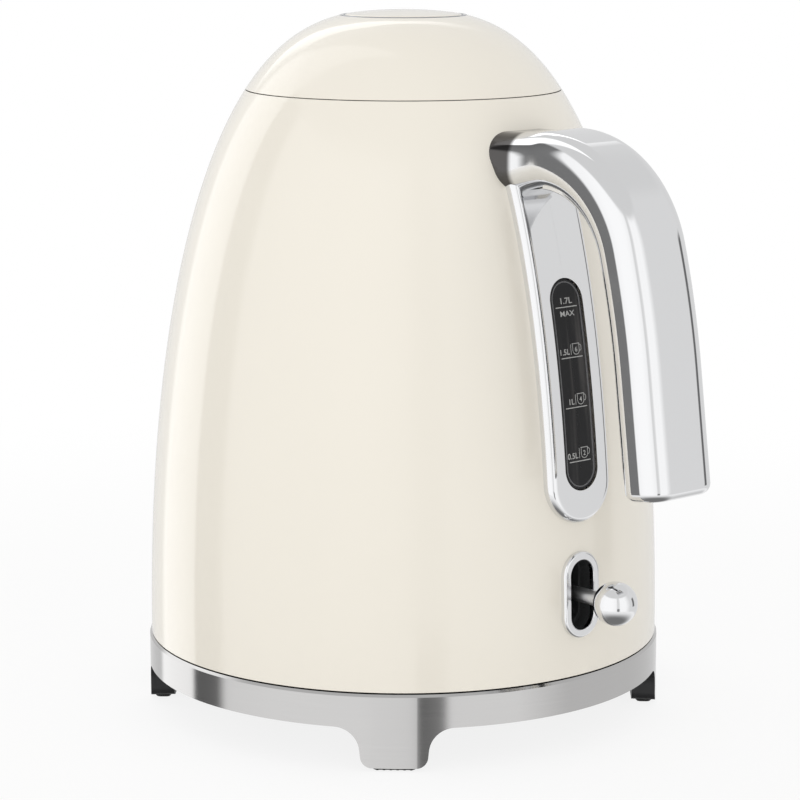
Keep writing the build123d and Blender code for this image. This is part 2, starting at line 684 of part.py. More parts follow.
def make_heating_element():
    half = HEATER_WIDTH / 2
    low, flank = SPREADER_UNDER - HEATER_HEIGHT, SPREADER_UNDER - HEATER_HEIGHT + half
    a, b = HEATER_CIRCLE - half, HEATER_CIRCLE + half
    sides = Polyline((b, 0, flank), (b, 0, SPREADER_UNDER), (a, 0, SPREADER_UNDER), (a, 0, flank))
    belly = ThreePointArc((a, 0, flank), (HEATER_CIRCLE, 0, low), (b, 0, flank))
    section = make_face([*sides.edges(), belly])
    start = STEAM_TUBE_ANGLE + (360 - HEATER_ARC) / 2
    element = Rot(0, 0, start) * revolve(section, Axis.Z, HEATER_ARC)
    for angle in (start + COLD_PIN_INSET, start + HEATER_ARC - COLD_PIN_INSET):
        element += disc(COLD_PIN, low - COLD_PIN_LENGTH, flank, *polar(HEATER_CIRCLE, angle))
    return element


def make_thermostat_control():
    body = disc(CONTROL_RADIUS, CONTROL_UNDER, CONTROL_TOP)
    body = chamfer(level_edges(body, CONTROL_TOP), CONTROL_BEVEL)
    for i in range(PILLAR_COUNT):
        place = polar(PILLAR_CIRCLE, 360 * i / PILLAR_COUNT + 90)
        body += disc(PILLAR_RADIUS, CONTROL_TOP - CONTROL_BEVEL, SPREADER_UNDER, *place)
    cup = STEAM_TUBE_RADIUS + STEAM_CUP_WALL
    low, high = STEAM_SEAT - STEAM_CUP_FLOOR, STEAM_SEAT + STEAM_CUP_DEPTH
    arm = block(CONTROL_RADIUS - STEAM_CUP_FLOOR, STEAM_TUBE_CIRCLE, -cup / 2, cup / 2, low, high)
    arm += disc(cup, low, high, STEAM_TUBE_CIRCLE)
    arm -= disc(STEAM_TUBE_RADIUS, STEAM_SEAT, high + OVERCUT, STEAM_TUBE_CIRCLE)
    return body + Rot(0, 0, STEAM_TUBE_ANGLE) * arm


def make_bimetal_disc():
    low, rise = CONTROL_TOP, BIMETAL_DISH
    halfway = (BIMETAL_RADIUS / 2, 0, low + 0.75 * rise)
    under = ThreePointArc((0, 0, low + rise), halfway, (BIMETAL_RADIUS, 0, low))
    over = under.moved(Location((0, 0, BIMETAL_SHEET)))
    return spun(under, over, Line(under @ 0, over @ 0), Line(under @ 1, over @ 1))


def make_steam_tube():
    x, y = steam_place()
    bore = STEAM_TUBE_RADIUS - STEAM_TUBE_WALL
    return ring(bore, STEAM_TUBE_RADIUS, STEAM_SEAT, MOUTH_UNDER - HEAD_ROOM - SLIP, x, y)


# Body shell with its beak

def beak_section(z, grow, wall):
    """Plan of the beak: a round nose whose flanks sweep out to lie along the body."""
    body = outer_radius(z)
    nose = BEAK_NOSE * (0.6 + 0.4 * grow)
    centre = body - BEAK_SINK + (BEAK_REACH + BEAK_SINK) * grow**BEAK_POWER - nose
    spread = math.radians(BEAK_SPREAD * (0.35 + 0.65 * grow)) - wall / body
    root = Vector(-math.cos(spread), math.sin(spread), 0) * (body - BEAK_SINK)
    lean = math.radians(BEAK_LEAN)
    tight = nose - wall
    touch = Vector(-centre - tight * math.sin(lean), tight * math.cos(lean), 0)
    away = Vector(math.cos(lean), math.sin(lean), 0)
    along = Vector(math.sin(spread), math.cos(spread), 0)
    flank = Spline(touch, root, tangents=[away, along])
    arc = ThreePointArc(touch, (-centre - tight, 0, 0), (touch.X, -touch.Y, 0))
    inside = BEAK_BEHIND - (outer_radius(SEAM) - BEAK_SINK) * math.cos(math.radians(BEAK_SPREAD))
    back = Polyline(root, (inside, root.Y, 0), (inside, -root.Y, 0), (root.X, -root.Y, 0))
    return Pos(0, 0, z) * make_face([arc, flank, *back.edges(), flank.mirror(Plane.XZ)])


def beak_solid(wall, high):
    """Beak drawn up through four levels, moved inward by the wall."""
    foot, top = SEAM - BEAK_DROP_LOW, SEAM - BEAK_DROP_TOP
    sections = []
    for share in (0.0, 0.33, 0.67, 1.0):
        level = foot + (high - foot) * share
        sections.append(beak_section(level, (level - foot) / (top - foot), wall))
    return loft(sections)


def beak_lip_cut():
    """Wedge above the beak's sloping lip."""
    pivot = Pos(-outer_radius(SEAM), 0, SEAM - BEAK_DROP_TOP)
    wedge = Box(BODY_RADIUS, BODY_RADIUS, LID_HEIGHT, align=(Align.MAX, Align.CENTER, Align.MIN))
    return pivot * Rot(0, -BEAK_TILT, 0) * wedge


def beak_channel():
    return beak_solid(BEAK_WALL, SEAM)


def make_pouring_beak():
    beak = beak_solid(0, SEAM - BEAK_DROP_TOP) - beak_lip_cut() - DOME_OUT - beak_channel()
    return max(beak.solids(), key=lambda solid: solid.volume)


def make_body_shell():
    shell = DOME_OUT - DOME_IN
    shell = fillet(level_edges(shell, RIM_TOP), RIM_ROUND)
    opening = block(-KETTLE_HEIGHT, 0, -BODY_RADIUS, BODY_RADIUS, filter_low(), MOUTH_UNDER - PLAY)
    shell -= beak_channel() & opening
    shell -= window_neck()
    shell -= stadium(*liner_outline(), LEVER_HEIGHT, BODY_RADIUS / 2, BODY_RADIUS + OVERCUT)
    for y, z in handle_screw_places():
        shell -= rod_x(BODY_RADIUS / 3, BODY_RADIUS, z, HANDLE_SCREW_SHANK + SLIP, y=y)
    return shell


# Level window and backplate

def lens_bar(shrink, x0, x1):
    return stadium(LENS_WIDTH - 2 * shrink, LENS_HEIGHT - 2 * shrink, LENS_MIDDLE, x0, x1)


def window_neck():
    return lens_bar(NECK_LEDGE, BODY_RADIUS / 2, BODY_RADIUS + OVERCUT)


def lens_reach():
    """Lowest and highest level that the lens and its gasket can take up."""
    half = LENS_HEIGHT / 2 + GASKET_FLANGE
    return LENS_MIDDLE - half, LENS_MIDDLE + half


def make_level_window():
    low, high = lens_reach()
    face = meridian_slab(low, high, PLATE_PROUD - LENS_SUNK, LENS_WIDTH, BODY_RADIUS / 2)
    front = (face & lens_bar(LENS_GAP, BODY_RADIUS / 2, BODY_RADIUS + 2 * PLATE_PROUD)) - DOME_OUT
    return front + ((window_neck() & DOME_OUT) - dome_solid(low, high, NECK_DEPTH))


def make_window_gasket():
    low, high = lens_reach()
    flange = lens_bar(NECK_LEDGE - GASKET_FLANGE, BODY_RADIUS / 2, BODY_RADIUS) & DOME_IN
    return flange - dome_solid(low, high, BODY_WALL + GASKET_WALL) - window_neck()


def make_backplate(handle):
    low, high = PLATE_LOW, PLATE_TOP
    back, front = BODY_RADIUS / 3, BODY_RADIUS + 2 * PLATE_PROUD
    slab = meridian_slab(low - PLATE_PROUD, high + PLATE_PROUD, PLATE_PROUD, PLATE_WIDTH, back)
    plate = slab & stadium(PLATE_WIDTH, high - low, (low + high) / 2, back, front)
    plate = chamfer(outer_face(plate).edges(), PLATE_BEVEL)
    plate -= DOME_OUT
    plate -= lens_bar(0, back, front)
    plate -= handle
    return max(plate.solids(), key=lambda solid: solid.volume)


# Handle

def handle_run(end_height):
    """Centre line from the start of the bend down to the given height."""
    bend = JernArc((ARM_REACH, ARM_HEIGHT), (1, 0), BEND_RADIUS, -BEND_ANGLE)
    lean = JernArc(bend @ 1, bend % 1, LEAN_RADIUS, -LEAN_ANGLE)
    corner, down = lean @ 1, lean % 1
    leg = Line(corner, corner + down * ((end_height - corner.Y) / down.Y))
    return Plane.XZ * Wire([bend, lean, leg])


def handle_section(path, width, thickness, corner, shift=0.0):
    plane = Plane(origin=path @ 0, x_dir=(0, 1, 0), z_dir=path % 0)
    return plane * Pos(0, shift) * RectangleRounded(width, thickness, corner)


def handle_root():
    """Root that flares like a trumpet where the arm meets the body."""
    sections = []
    for share in (0.0, 0.3, 0.6, 1.0):
        flare = ROOT_FLARE * (1 - share) ** ROOT_POWER
        x = ARM_REACH - ROOT_LENGTH * (1 - share)
        width, thickness = HANDLE_WIDTH + 2 * flare, HANDLE_THICKNESS + 2 * flare
        outline = RectangleRounded(width, thickness, HANDLE_CORNER + flare)
        dip = ROOT_DIP * (1 - share) ** ROOT_DIP_POWER
        sections.append(Plane.YZ.offset(x) * Pos(0, ARM_HEIGHT - dip) * outline)
    return loft(sections)


def handle_screw_places():
    z = ARM_HEIGHT - HANDLE_SCREW_DROP
    return [(-HANDLE_SCREW_SPREAD, z), (HANDLE_SCREW_SPREAD, z)]


def make_handle_shell():
    path = handle_run(HANDLE_END)
    grip = sweep(handle_section(path, HANDLE_WIDTH, HANDLE_THICKNESS, HANDLE_CORNER), path)
    grip = fillet(grip.faces().sort_by(Axis.Z)[0].edges(), HANDLE_END_ROUND)
    handle = grip + handle_root() - DOME_OUT
    inner = handle_run(HANDLE_END + STRIP_END)
    seat = STRIP_DEPTH + STRIP_PROUD + OVERCUT
    floor = -HANDLE_THICKNESS / 2 + STRIP_DEPTH
    slot = handle_section(inner, STRIP_WIDTH, seat, STRIP_ROUND, floor - seat / 2)
    middle = floor + (HOLLOW_DEPTH - OVERCUT) / 2
    hollow = handle_section(inner, HOLLOW_WIDTH, HOLLOW_DEPTH + OVERCUT, HOLLOW_CORNER, middle)
    handle -= sweep(slot, inner)
    handle -= sweep(hollow, inner)
    for y, z in handle_screw_places():
        end = screw_seat(y, z) + HANDLE_SCREW_REACH + HEAD_ROOM
        handle -= rod_x(BODY_RADIUS / 3, end, z, HANDLE_SCREW_SHANK + RUNNING_GAP, y=y)
    return max(handle.solids(), key=lambda solid: solid.volume)


def make_handle_inner_cover():
    inner = handle_run(HANDLE_END + STRIP_END)
    floor = -HANDLE_THICKNESS / 2 + STRIP_DEPTH
    depth = STRIP_DEPTH + STRIP_PROUD
    width = STRIP_WIDTH - 2 * STRIP_SEAM
    return sweep(handle_section(inner, width, depth, STRIP_ROUND, floor - depth / 2), inner)


def screw_seat(y, z):
    """Where a head that lies across X first meets the body's inside."""
    inner = dome_radius(z + HANDLE_SCREW_HEAD, BODY_WALL)
    return math.sqrt(inner**2 - (abs(y) + HANDLE_SCREW_HEAD) ** 2)


def make_handle_screws():
    screws = []
    for y, z in handle_screw_places():
        seat = screw_seat(y, z)
        head = rod_x(seat - HANDLE_SCREW_HEIGHT, seat, z, HANDLE_SCREW_HEAD, y=y)
        screws.append(head + rod_x(seat, seat + HANDLE_SCREW_REACH, z, HANDLE_SCREW_SHANK, y=y))
    return screws


# Switch lever

def liner_outline():
    return SLOT_WIDTH + 2 * LINER_WALL, SLOT_HEIGHT + 2 * LINER_WALL


def make_lever_bezel():
    low, high = LEVER_HEIGHT - SLOT_HEIGHT, LEVER_HEIGHT + SLOT_HEIGHT
    slab = meridian_slab(low, high, BEZEL_PROUD, SLOT_WIDTH + BEZEL_RIM, BODY_RADIUS / 2)
    width, height = SLOT_WIDTH + 2 * BEZEL_RIM, SLOT_HEIGHT + 2 * BEZEL_RIM
    back, front = BODY_RADIUS / 2, BODY_RADIUS + 2 * BEZEL_PROUD
    bezel = slab & stadium(width, height, LEVER_HEIGHT, back, front)
    bezel = fillet(outer_face(bezel).edges(), BEZEL_ROUND)
    bezel -= stadium(SLOT_WIDTH, SLOT_HEIGHT, LEVER_HEIGHT, back - OVERCUT, front)
    inner = [e for e in bezel.edges() if on_slot_lip(e @ 0.5)]
    return fillet(inner, BEZEL_ROUND / 2) - DOME_OUT


def on_slot_lip(point):
    across = abs(point.Y) < SLOT_WIDTH / 2 + SLIP
    along = abs(point.Z - LEVER_HEIGHT) < SLOT_HEIGHT / 2 + SLIP
    return across and along and point.X > outer_radius(point.Z) + BEZEL_PROUD / 2


def make_slot_liner():
    front = dome_radius(LEVER_HEIGHT)
    back, step = front - LINER_DEPTH, front - LINER_FRONT
    liner = stadium(*liner_outline(), LEVER_HEIGHT, back, front + OVERCUT) & DOME_OUT
    liner -= stadium(SLOT_WIDTH, SLOT_HEIGHT, LEVER_HEIGHT, step, front + OVERCUT)
    width, height = SLOT_WIDTH - 2 * LINER_STEP, SLOT_HEIGHT - 2 * LINER_STEP
    return liner - stadium(width, height, LEVER_HEIGHT, back - OVERCUT, front)


def make_lever_stem():
    start, end = PIVOT_REACH + HUB_RADIUS + HEAD_ROOM, KNOB_REACH - KNOB_RADIUS + KNOB_BITE
    return rod_x(start, end, LEVER_HEIGHT, STEM_THIN, STEM_THICK)


def make_lever_knob(stem):
    return Pos(KNOB_REACH, 0, LEVER_HEIGHT) * Sphere(KNOB_RADIUS) - stem


def make_lever_rocker(stem):
    rocker = rod_y(-HUB_WIDTH / 2, HUB_WIDTH / 2, PIVOT_REACH, LEVER_HEIGHT, HUB_RADIUS)
    side, low = -TAIL_WIDTH / 2, LEVER_HEIGHT - TAIL_HEIGHT / 2
    rocker += block(CONTROL_RADIUS + TAIL_GAP, PIVOT_REACH, side, -side, low, low + TAIL_HEIGHT)
    socket_end = PIVOT_REACH + HUB_RADIUS + STEM_SOCKET_LENGTH
    rocker += rod_x(PIVOT_REACH, socket_end, LEVER_HEIGHT, STEM_SOCKET)
    hole = rod_y(-HUB_WIDTH, HUB_WIDTH, PIVOT_REACH, LEVER_HEIGHT, PIVOT_RADIUS + RUNNING_GAP)
    return rocker - hole - stem


def cheek_inner():
    return HUB_WIDTH / 2 + CHEEK_GAP


def make_lever_bracket():
    a, b = cheek_inner(), cheek_inner() + CHEEK_WALL
    half = CHEEK_WIDTH / 2
    start, end, flange = PIVOT_REACH - half, PIVOT_REACH + half, b + 2 * CHEEK_WALL
    foot_top = BODY_FOOT + BRACKET_FOOT
    bracket = block(start - CHEEK_WALL, end + CHEEK_WALL, -flange, flange, BODY_FOOT, foot_top)
    for side in (-b, a):
        cheek = block(start, end, side, side + CHEEK_WALL, BODY_FOOT, LEVER_HEIGHT)
        bracket += cheek + rod_y(side, side + CHEEK_WALL, PIVOT_REACH, LEVER_HEIGHT, half)
    return bracket - rod_y(-b - OVERCUT, b + OVERCUT, PIVOT_REACH, LEVER_HEIGHT, PIVOT_RADIUS)


def make_lever_pivot_pin():
    reach = cheek_inner() + CHEEK_WALL + HEAD_ROOM
    return rod_y(-reach, reach, PIVOT_REACH, LEVER_HEIGHT, PIVOT_RADIUS)


# Mouth ring, filter and lid

def catch_lip_under():
    return NOSE_LOW + BOLT_THICKNESS + BOLT_LIFT


def make_mouth_ring():
    mouth = disc(BODY_RADIUS, MOUTH_UNDER, MOUTH_TOP) & DOME_IN
    mouth -= disc(MOUTH_RADIUS, MOUTH_UNDER - OVERCUT, MOUTH_TOP + OVERCUT)
    half, back = CATCH_WIDTH / 2, -CATCH_REACH - CATCH_DEPTH
    catch = block(back, -CATCH_REACH, -half, half, MOUTH_TOP, catch_lip_under() + CATCH_LIP)
    slot, end = BOLT_WIDTH / 2 + PLAY, -CATCH_REACH + OVERCUT
    catch -= block(-BOLT_NOSE - PLAY, end, -slot, slot, NOSE_LOW - BOLT_LIFT, catch_lip_under())
    mouth += catch
    inner = FILTER_WIDTH / 2 + POST_GAP
    start, low = -FILTER_REACH - POST_DEPTH / 2, TRUNNION_Z - POST_TAIL
    for side in (-inner - POST_WALL, inner):
        mouth += block(start, start + POST_DEPTH, side, side + POST_WALL, low, MOUTH_UNDER)
    reach = inner + POST_WALL + OVERCUT
    return mouth - rod_y(-reach, reach, -FILTER_REACH, TRUNNION_Z, TRUNNION_RADIUS + RUNNING_GAP)


def filter_low():
    return TRUNNION_Z - TRUNNION_RISE


def filter_panel(border, thickness):
    half = FILTER_WIDTH / 2 - border
    low, high = filter_low() + border, filter_low() + FILTER_HEIGHT - border
    return block(-FILTER_REACH - thickness / 2, -FILTER_REACH + thickness / 2, -half, half, low, high)


def make_filter_frame():
    frame = filter_panel(0, FILTER_THICKNESS)
    frame = fillet(frame.edges().filter_by(Axis.X), FILTER_BORDER / 2)
    reach = FILTER_WIDTH / 2 + TRUNNION_LENGTH
    frame += rod_y(-reach, reach, -FILTER_REACH, TRUNNION_Z, TRUNNION_RADIUS)
    frame -= filter_panel(FILTER_BORDER, FILTER_THICKNESS + OVERCUT)
    return frame - filter_panel(FILTER_BORDER - MESH_BITE, MESH_SHEET)


def make_filter_mesh():
    width = FILTER_WIDTH - 2 * FILTER_BORDER
    height = FILTER_HEIGHT - 2 * FILTER_BORDER
    outer = Rectangle(width + 2 * MESH_BITE, height + 2 * MESH_BITE)
    step_y, step_z = width / MESH_COLUMNS, height / MESH_ROWS
    gap = Rectangle(step_y - MESH_WIRE, step_z - MESH_WIRE)
    net = outer - GridLocations(step_y, step_z, MESH_COLUMNS, MESH_ROWS) * gap
    middle = filter_low() + FILTER_HEIGHT / 2
    return extrude(Plane.YZ.offset(-FILTER_REACH - MESH_SHEET / 2) * Pos(0, middle) * net, MESH_SHEET)


def make_lid_shell():
    outer_top, inner_top = dome_height(LID_HOLE), dome_height(LID_HOLE, BODY_WALL)
    outer = dome_edge(LID_EDGE, outer_top)
    inner = dome_edge(LID_EDGE, inner_top, BODY_WALL)
    shell = spun(outer, inner, Line(outer @ 0, inner @ 0), Line(outer @ 1, inner @ 1))
    return fillet(level_edges(shell, LID_EDGE), RIM_ROUND)


def make_lid_button_collar():
    top = dome_height(LID_HOLE) + COLLAR_PROUD
    under = dome_height(LID_HOLE + COLLAR_FLANGE, BODY_WALL) - COLLAR_SHEET
    collar = ring(COLLAR_BORE, LID_HOLE, top - COLLAR_HEIGHT, top)
    collar = fillet(level_edges(collar, top), COLLAR_WALL / 3)
    return collar + (ring(COLLAR_BORE, LID_HOLE + COLLAR_FLANGE, under, KETTLE_HEIGHT) & LID_IN)


def make_lid_button():
    rim = dome_height(BUTTON_RADIUS)
    drop = KETTLE_HEIGHT - rim
    inner = BUTTON_RADIUS - BUTTON_WALL
    halfway = (BUTTON_RADIUS / 2, 0, KETTLE_HEIGHT - drop / 4)
    crown = ThreePointArc((0, 0, KETTLE_HEIGHT), halfway, (BUTTON_RADIUS, 0, rim))
    roof, skirt = KETTLE_HEIGHT - BUTTON_WALL, rim - BUTTON_SKIRT
    side = Polyline(crown @ 1, (BUTTON_RADIUS, 0, skirt), (inner, 0, skirt), (inner, 0, roof - drop))
    under = ThreePointArc((inner, 0, roof - drop), (inner / 2, 0, roof - drop / 4), (0, 0, roof))
    button = spun(crown, *side.edges(), under, Line((0, 0, roof), (0, 0, KETTLE_HEIGHT)))
    button = fillet(level_edges(button, rim), BUTTON_ROUND)
    wedge_top, tip = BOLT_TOP + BUTTON_TRAVEL, eye_edge()
    button += disc(STEM_RADIUS, wedge_top, roof + BUTTON_WALL / 2)
    wedge = Cone(tip, STEM_RADIUS, STEM_RADIUS - tip, align=BOTTOM)
    return button + Pos(0, 0, wedge_top - STEM_RADIUS + tip) * wedge


def coil(radius, wire, pitch, turns, base, direction):
    path = Helix(pitch, pitch * turns, radius, center=base, direction=direction)
    section = Plane(origin=path @ 0, z_dir=path % 0) * Circle(wire / 2)
    return sweep(section, path, is_frenet=True)


def make_button_spring():
    low = BRIDGE_TOP + COIL_WIRE / 2
    room = dome_height(BUTTON_RADIUS) - BUTTON_WALL - COIL_WIRE / 2 - low
    return coil(COIL_RADIUS, COIL_WIRE, room / COIL_TURNS, COIL_TURNS, (0, 0, low), (0, 0, 1))


def eye_edge():
    """Where the bolt's eye meets the button's cone with the lid latched."""
    return STEM_RADIUS - BUTTON_TRAVEL + BOLT_LIFT


def make_latch_bolt():
    half, eye = BOLT_WIDTH / 2, eye_edge() - BOLT_EYE
    bolt = block(-BOLT_LEG_REACH, eye, -half, half, BOLT_LOW, BOLT_TOP)
    bolt += disc(BOLT_EYE + BOLT_EYE_WALL, BOLT_LOW, BOLT_TOP, eye)
    bolt -= disc(BOLT_EYE, BOLT_LOW - OVERCUT, BOLT_TOP + OVERCUT, eye)
    leg_in = -BOLT_LEG_REACH + BOLT_LEG
    bolt += block(-BOLT_LEG_REACH, leg_in, -half, half, NOSE_LOW, BOLT_TOP)
    nose = block(-BOLT_NOSE, leg_in, -half, half, NOSE_LOW, NOSE_LOW + BOLT_THICKNESS)
    tip = nose.edges().filter_by(Axis.Y).group_by(Axis.X)[0].sort_by(Axis.Z)[0]
    return bolt + chamfer(tip, BOLT_THICKNESS / 2)


def make_lid_liner():
    liner = disc(BODY_RADIUS, LINER_UNDER, LINER_TOP) & LID_IN
    half, low, high = NECK_WIDTH / 2 + HINGE_GAP - SLIP / 2, LINER_UNDER - OVERCUT, LINER_TOP + OVERCUT
    liner -= block(ARM_BACK + 2 * ARM_RAIL, BODY_RADIUS, -half, half, low, high)
    side = BOLT_WIDTH / 2 + PLAY
    slot_end = -BOLT_LEG_REACH + BOLT_LEG + BUTTON_TRAVEL + HEAD_ROOM
    liner -= block(-BOLT_LEG_REACH - HEAD_ROOM, slot_end, -side, side, low, high)
    bridge = disc(BRIDGE_RADIUS, BRIDGE_UNDER, BRIDGE_TOP)
    for y in (-BRIDGE_RADIUS, BRIDGE_RADIUS - BRIDGE_LEG):
        leg = block(-BRIDGE_LEG, BRIDGE_LEG, y, y + BRIDGE_LEG, LINER_TOP, BRIDGE_TOP)
        bridge += leg & disc(BRIDGE_RADIUS, LINER_TOP, BRIDGE_TOP)
    return liner + (bridge - disc(STEM_RADIUS + BUTTON_GAP, BRIDGE_UNDER - OVERCUT, BRIDGE_TOP + OVERCUT))


def make_lid_hinge_arm():
    a = NECK_WIDTH / 2 + HINGE_GAP
    b = a + LUG_WIDTH
    high = LINER_TOP + ARM_RAIL
    foot = (HINGE_X - LUG_RADIUS, LINER_TOP + LUG_RADIUS)
    arm = block(ARM_BACK, ARM_BACK + 1.5 * ARM_RAIL, -b, b, LINER_TOP, high)
    for side in (-b, a):
        arm += block(ARM_BACK, HINGE_X + ARM_RAIL, side, side + LUG_WIDTH, LINER_TOP, high)
        arm += capsule((HINGE_X, HINGE_Z), foot, LUG_RADIUS, side, side + LUG_WIDTH)
    return arm - rod_y(-b - OVERCUT, b + OVERCUT, HINGE_X, HINGE_Z, HINGE_PIN + RUNNING_GAP)


def make_lid_hinge_bracket():
    half = NECK_WIDTH / 2
    bend = (HINGE_X - NECK_SWING, HINGE_Z - NECK_FALL)
    foot = (bend[0] + NECK_SWING / 2, MOUTH_UNDER - NECK_RADIUS)
    neck = capsule((HINGE_X, HINGE_Z), bend, NECK_RADIUS, -half, half)
    neck += rod_y(-half, half, HINGE_X, HINGE_Z, LUG_RADIUS)
    neck += capsule(bend, foot, NECK_RADIUS, -half, half)
    low = MOUTH_UNDER - 2 * NECK_RADIUS
    neck += block(foot[0], MOUTH_RADIUS + NECK_LAND, -half, half, low, MOUTH_UNDER)
    return neck - rod_y(-half - OVERCUT, half + OVERCUT, HINGE_X, HINGE_Z, HINGE_PIN)


def make_lid_hinge_pin():
    return rod_y(-HINGE_PIN_LENGTH / 2, HINGE_PIN_LENGTH / 2, HINGE_X, HINGE_Z, HINGE_PIN)


def make_lid_spring():
    start = NECK_WIDTH / 2 + HINGE_GAP + LUG_WIDTH + SPRING_WIRE
    radius = HINGE_PIN + (SPRING_WIRE + RUNNING_GAP) / 2
    return coil(radius, SPRING_WIRE, SPRING_PITCH, SPRING_TURNS, (HINGE_X, start, HINGE_Z), (0, 1, 0))


def make_all():
    handle = make_handle_shell()
    stem = make_lever_stem()
    return {
        "base_ring": make_base_ring(),
        "foot_pads": make_foot_pads(),
        "base_deck": make_base_deck(),
        "base_bottom_cover": make_base_bottom_cover(),
        "base_connector": make_base_connector(),
        "base_contacts": make_base_contacts(),
        "cord_gland": make_cord_gland(),
        "base_screws": make_base_screws(),
        "connector_socket": make_connector_socket(),
        "bottom_cover": make_bottom_cover(),
        "bottom_screws": make_bottom_screws(),
        "element_plate": make_element_plate(),
        "element_seal": make_element_seal(),
        "heat_spreader": make_heat_spreader(),
        "heating_element": make_heating_element(),
        "thermostat_control": make_thermostat_control(),
        "bimetal_disc": make_bimetal_disc(),
        "steam_tube": make_steam_tube(),
        "body_shell": make_body_shell(),
        "pouring_beak": make_pouring_beak(),
        "level_window": make_level_window(),
        "window_gasket": make_window_gasket(),
        "backplate": make_backplate(handle),
        "handle_shell": handle,
        "handle_inner_cover": make_handle_inner_cover(),
        "handle_screws": make_handle_screws(),
        "lever_bezel": make_lever_bezel(),
        "slot_liner": make_slot_liner(),
        "lever_stem": stem,
        "lever_knob": make_lever_knob(stem),
        "lever_rocker": make_lever_rocker(stem),
        "lever_bracket": make_lever_bracket(),
        "lever_pivot_pin": make_lever_pivot_pin(),
        "mouth_ring": make_mouth_ring(),
        "filter_frame": make_filter_frame(),
        "filter_mesh": make_filter_mesh(),
        "lid_shell": make_lid_shell(),
        "lid_liner": make_lid_liner(),
        "lid_button_collar": make_lid_button_collar(),
        "lid_button": make_lid_button(),
        "button_spring": make_button_spring(),
        "latch_bolt": make_latch_bolt(),
        "lid_hinge_arm": make_lid_hinge_arm(),
        "lid_hinge_bracket": make_lid_hinge_bracket(),
        "lid_hinge_pin": make_lid_hinge_pin(),
        "lid_spring": make_lid_spring(),
    }


os.makedirs("parts", exist_ok=True)
for name, piece in make_all().items():
    whole = Compound(children=piece) if isinstance(piece, list) else piece
    export_step(whole, f"parts/{name}.step")
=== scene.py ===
"""Finishes, printed marks and studio for the electric kettle. Sizes in millimetres until a mesh is made."""
import json
import math

import bmesh
import bpy
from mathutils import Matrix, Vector


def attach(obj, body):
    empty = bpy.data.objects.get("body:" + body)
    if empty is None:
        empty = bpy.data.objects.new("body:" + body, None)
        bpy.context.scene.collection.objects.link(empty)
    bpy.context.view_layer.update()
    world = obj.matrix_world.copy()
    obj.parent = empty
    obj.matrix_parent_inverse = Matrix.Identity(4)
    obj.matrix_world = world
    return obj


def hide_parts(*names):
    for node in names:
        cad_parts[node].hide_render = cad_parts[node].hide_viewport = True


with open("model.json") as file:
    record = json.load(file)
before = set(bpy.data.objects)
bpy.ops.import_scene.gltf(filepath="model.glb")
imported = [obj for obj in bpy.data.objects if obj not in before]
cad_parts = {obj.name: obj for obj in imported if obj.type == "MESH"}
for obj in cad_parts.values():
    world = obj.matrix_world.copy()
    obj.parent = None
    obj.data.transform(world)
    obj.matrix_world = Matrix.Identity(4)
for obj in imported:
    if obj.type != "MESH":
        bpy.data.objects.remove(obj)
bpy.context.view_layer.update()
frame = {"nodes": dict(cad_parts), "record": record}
scene = bpy.context.scene
MM = 0.001

# Sizes of the solids
CROWN, FOOT, GIRTH, WALL = 248.0, 27.2, 91.0, 1.2
RISE_POWER, CROWN_POWER = 2.1, 2.85
SEAM = 220.4
BASE_RADIUS, RING_WALL, RING_BEVEL = 91.7, 3.0, 0.8
FLOOR_TO_RING, RING_TOP, DECK_UNDER, LEDGE = 15.0, 26.6, 22.5, 4.2
LEG_HALF, LEG_SPREAD, LEG_OGEE, LEG_CORNER, LEG_DEPTH, LEG_TURN = 11.0, 12.5, 8.5, 4.0, 9.0, 47.0
PAD_WIDTH, PAD_DEPTH, PAD_PROUD, PAD_RECESS = 15.0, 5.6, 1.2, 1.6
PLATE_WIDTH, PLATE_LOW, PLATE_TOP, PLATE_PROUD, PLATE_BEVEL = 28.0, 80.0, 206.0, 3.0, 2.7
LENS_WIDTH, LENS_LOW, LENS_TOP, LENS_PROUD, LENS_GAP = 15.0, 91.3, 162.1, 2.5, 0.15
ARM_REACH, ARM_HEIGHT, BEND_RADIUS, BEND_ANGLE = 81.6, 202.4, 37.4, 74.3
LEAN_RADIUS, LEAN_ANGLE, HANDLE_END, END_ROUND = 283.0, 8.1, 95.5, 3.5
HANDLE_WIDTH, HANDLE_THICK, HANDLE_CORNER = 29.8, 18.5, 7.5
ROOT_FLARE, ROOT_LENGTH, ROOT_POWER, ROOT_DIP, ROOT_DIP_POWER = 4.6, 26.0, 2.2, 6.0, 1.4
STRIP_WIDTH, STRIP_DEPTH, STRIP_PROUD, STRIP_ROUND, STRIP_END = 20.7, 3.0, 0.7, 0.6, 7.0
LEVER_HEIGHT, SLOT_WIDTH, SLOT_HEIGHT = 55.3, 10.5, 24.0
BEZEL_RIM, BEZEL_PROUD, BEZEL_ROUND = 2.85, 1.7, 0.9
STEM_START, STEM_END, STEM_THIN, STEM_THICK, BALL_X, BALL_RADIUS = 72.0, 103.6, 2.0, 2.7, 107.6, 7.5
BUTTON_RADIUS, BUTTON_WALL, BUTTON_SKIRT, BUTTON_ROUND, BUTTON_STEM = 20.5, 2.2, 7.0, 0.8, 4.3
BOLT_TOP, BUTTON_TRAVEL, CONE_TIP = 225.4, 3.0, 1.6
COLLAR_BORE, LID_HOLE, COLLAR_PROUD, COLLAR_HEIGHT = 20.85, 22.35, 0.25, 8.5
COLLAR_FLANGE, COLLAR_SHEET = 3.5, 1.4
BEAK_LOW, BEAK_DROP, BEAK_REACH, BEAK_POWER, BEAK_NOSE = 46.0, 4.0, 20.0, 1.4, 7.0
BEAK_LEAN, BEAK_SPREAD, BEAK_SINK, BEAK_TILT = 32.0, 27.0, 0.8, 7.0
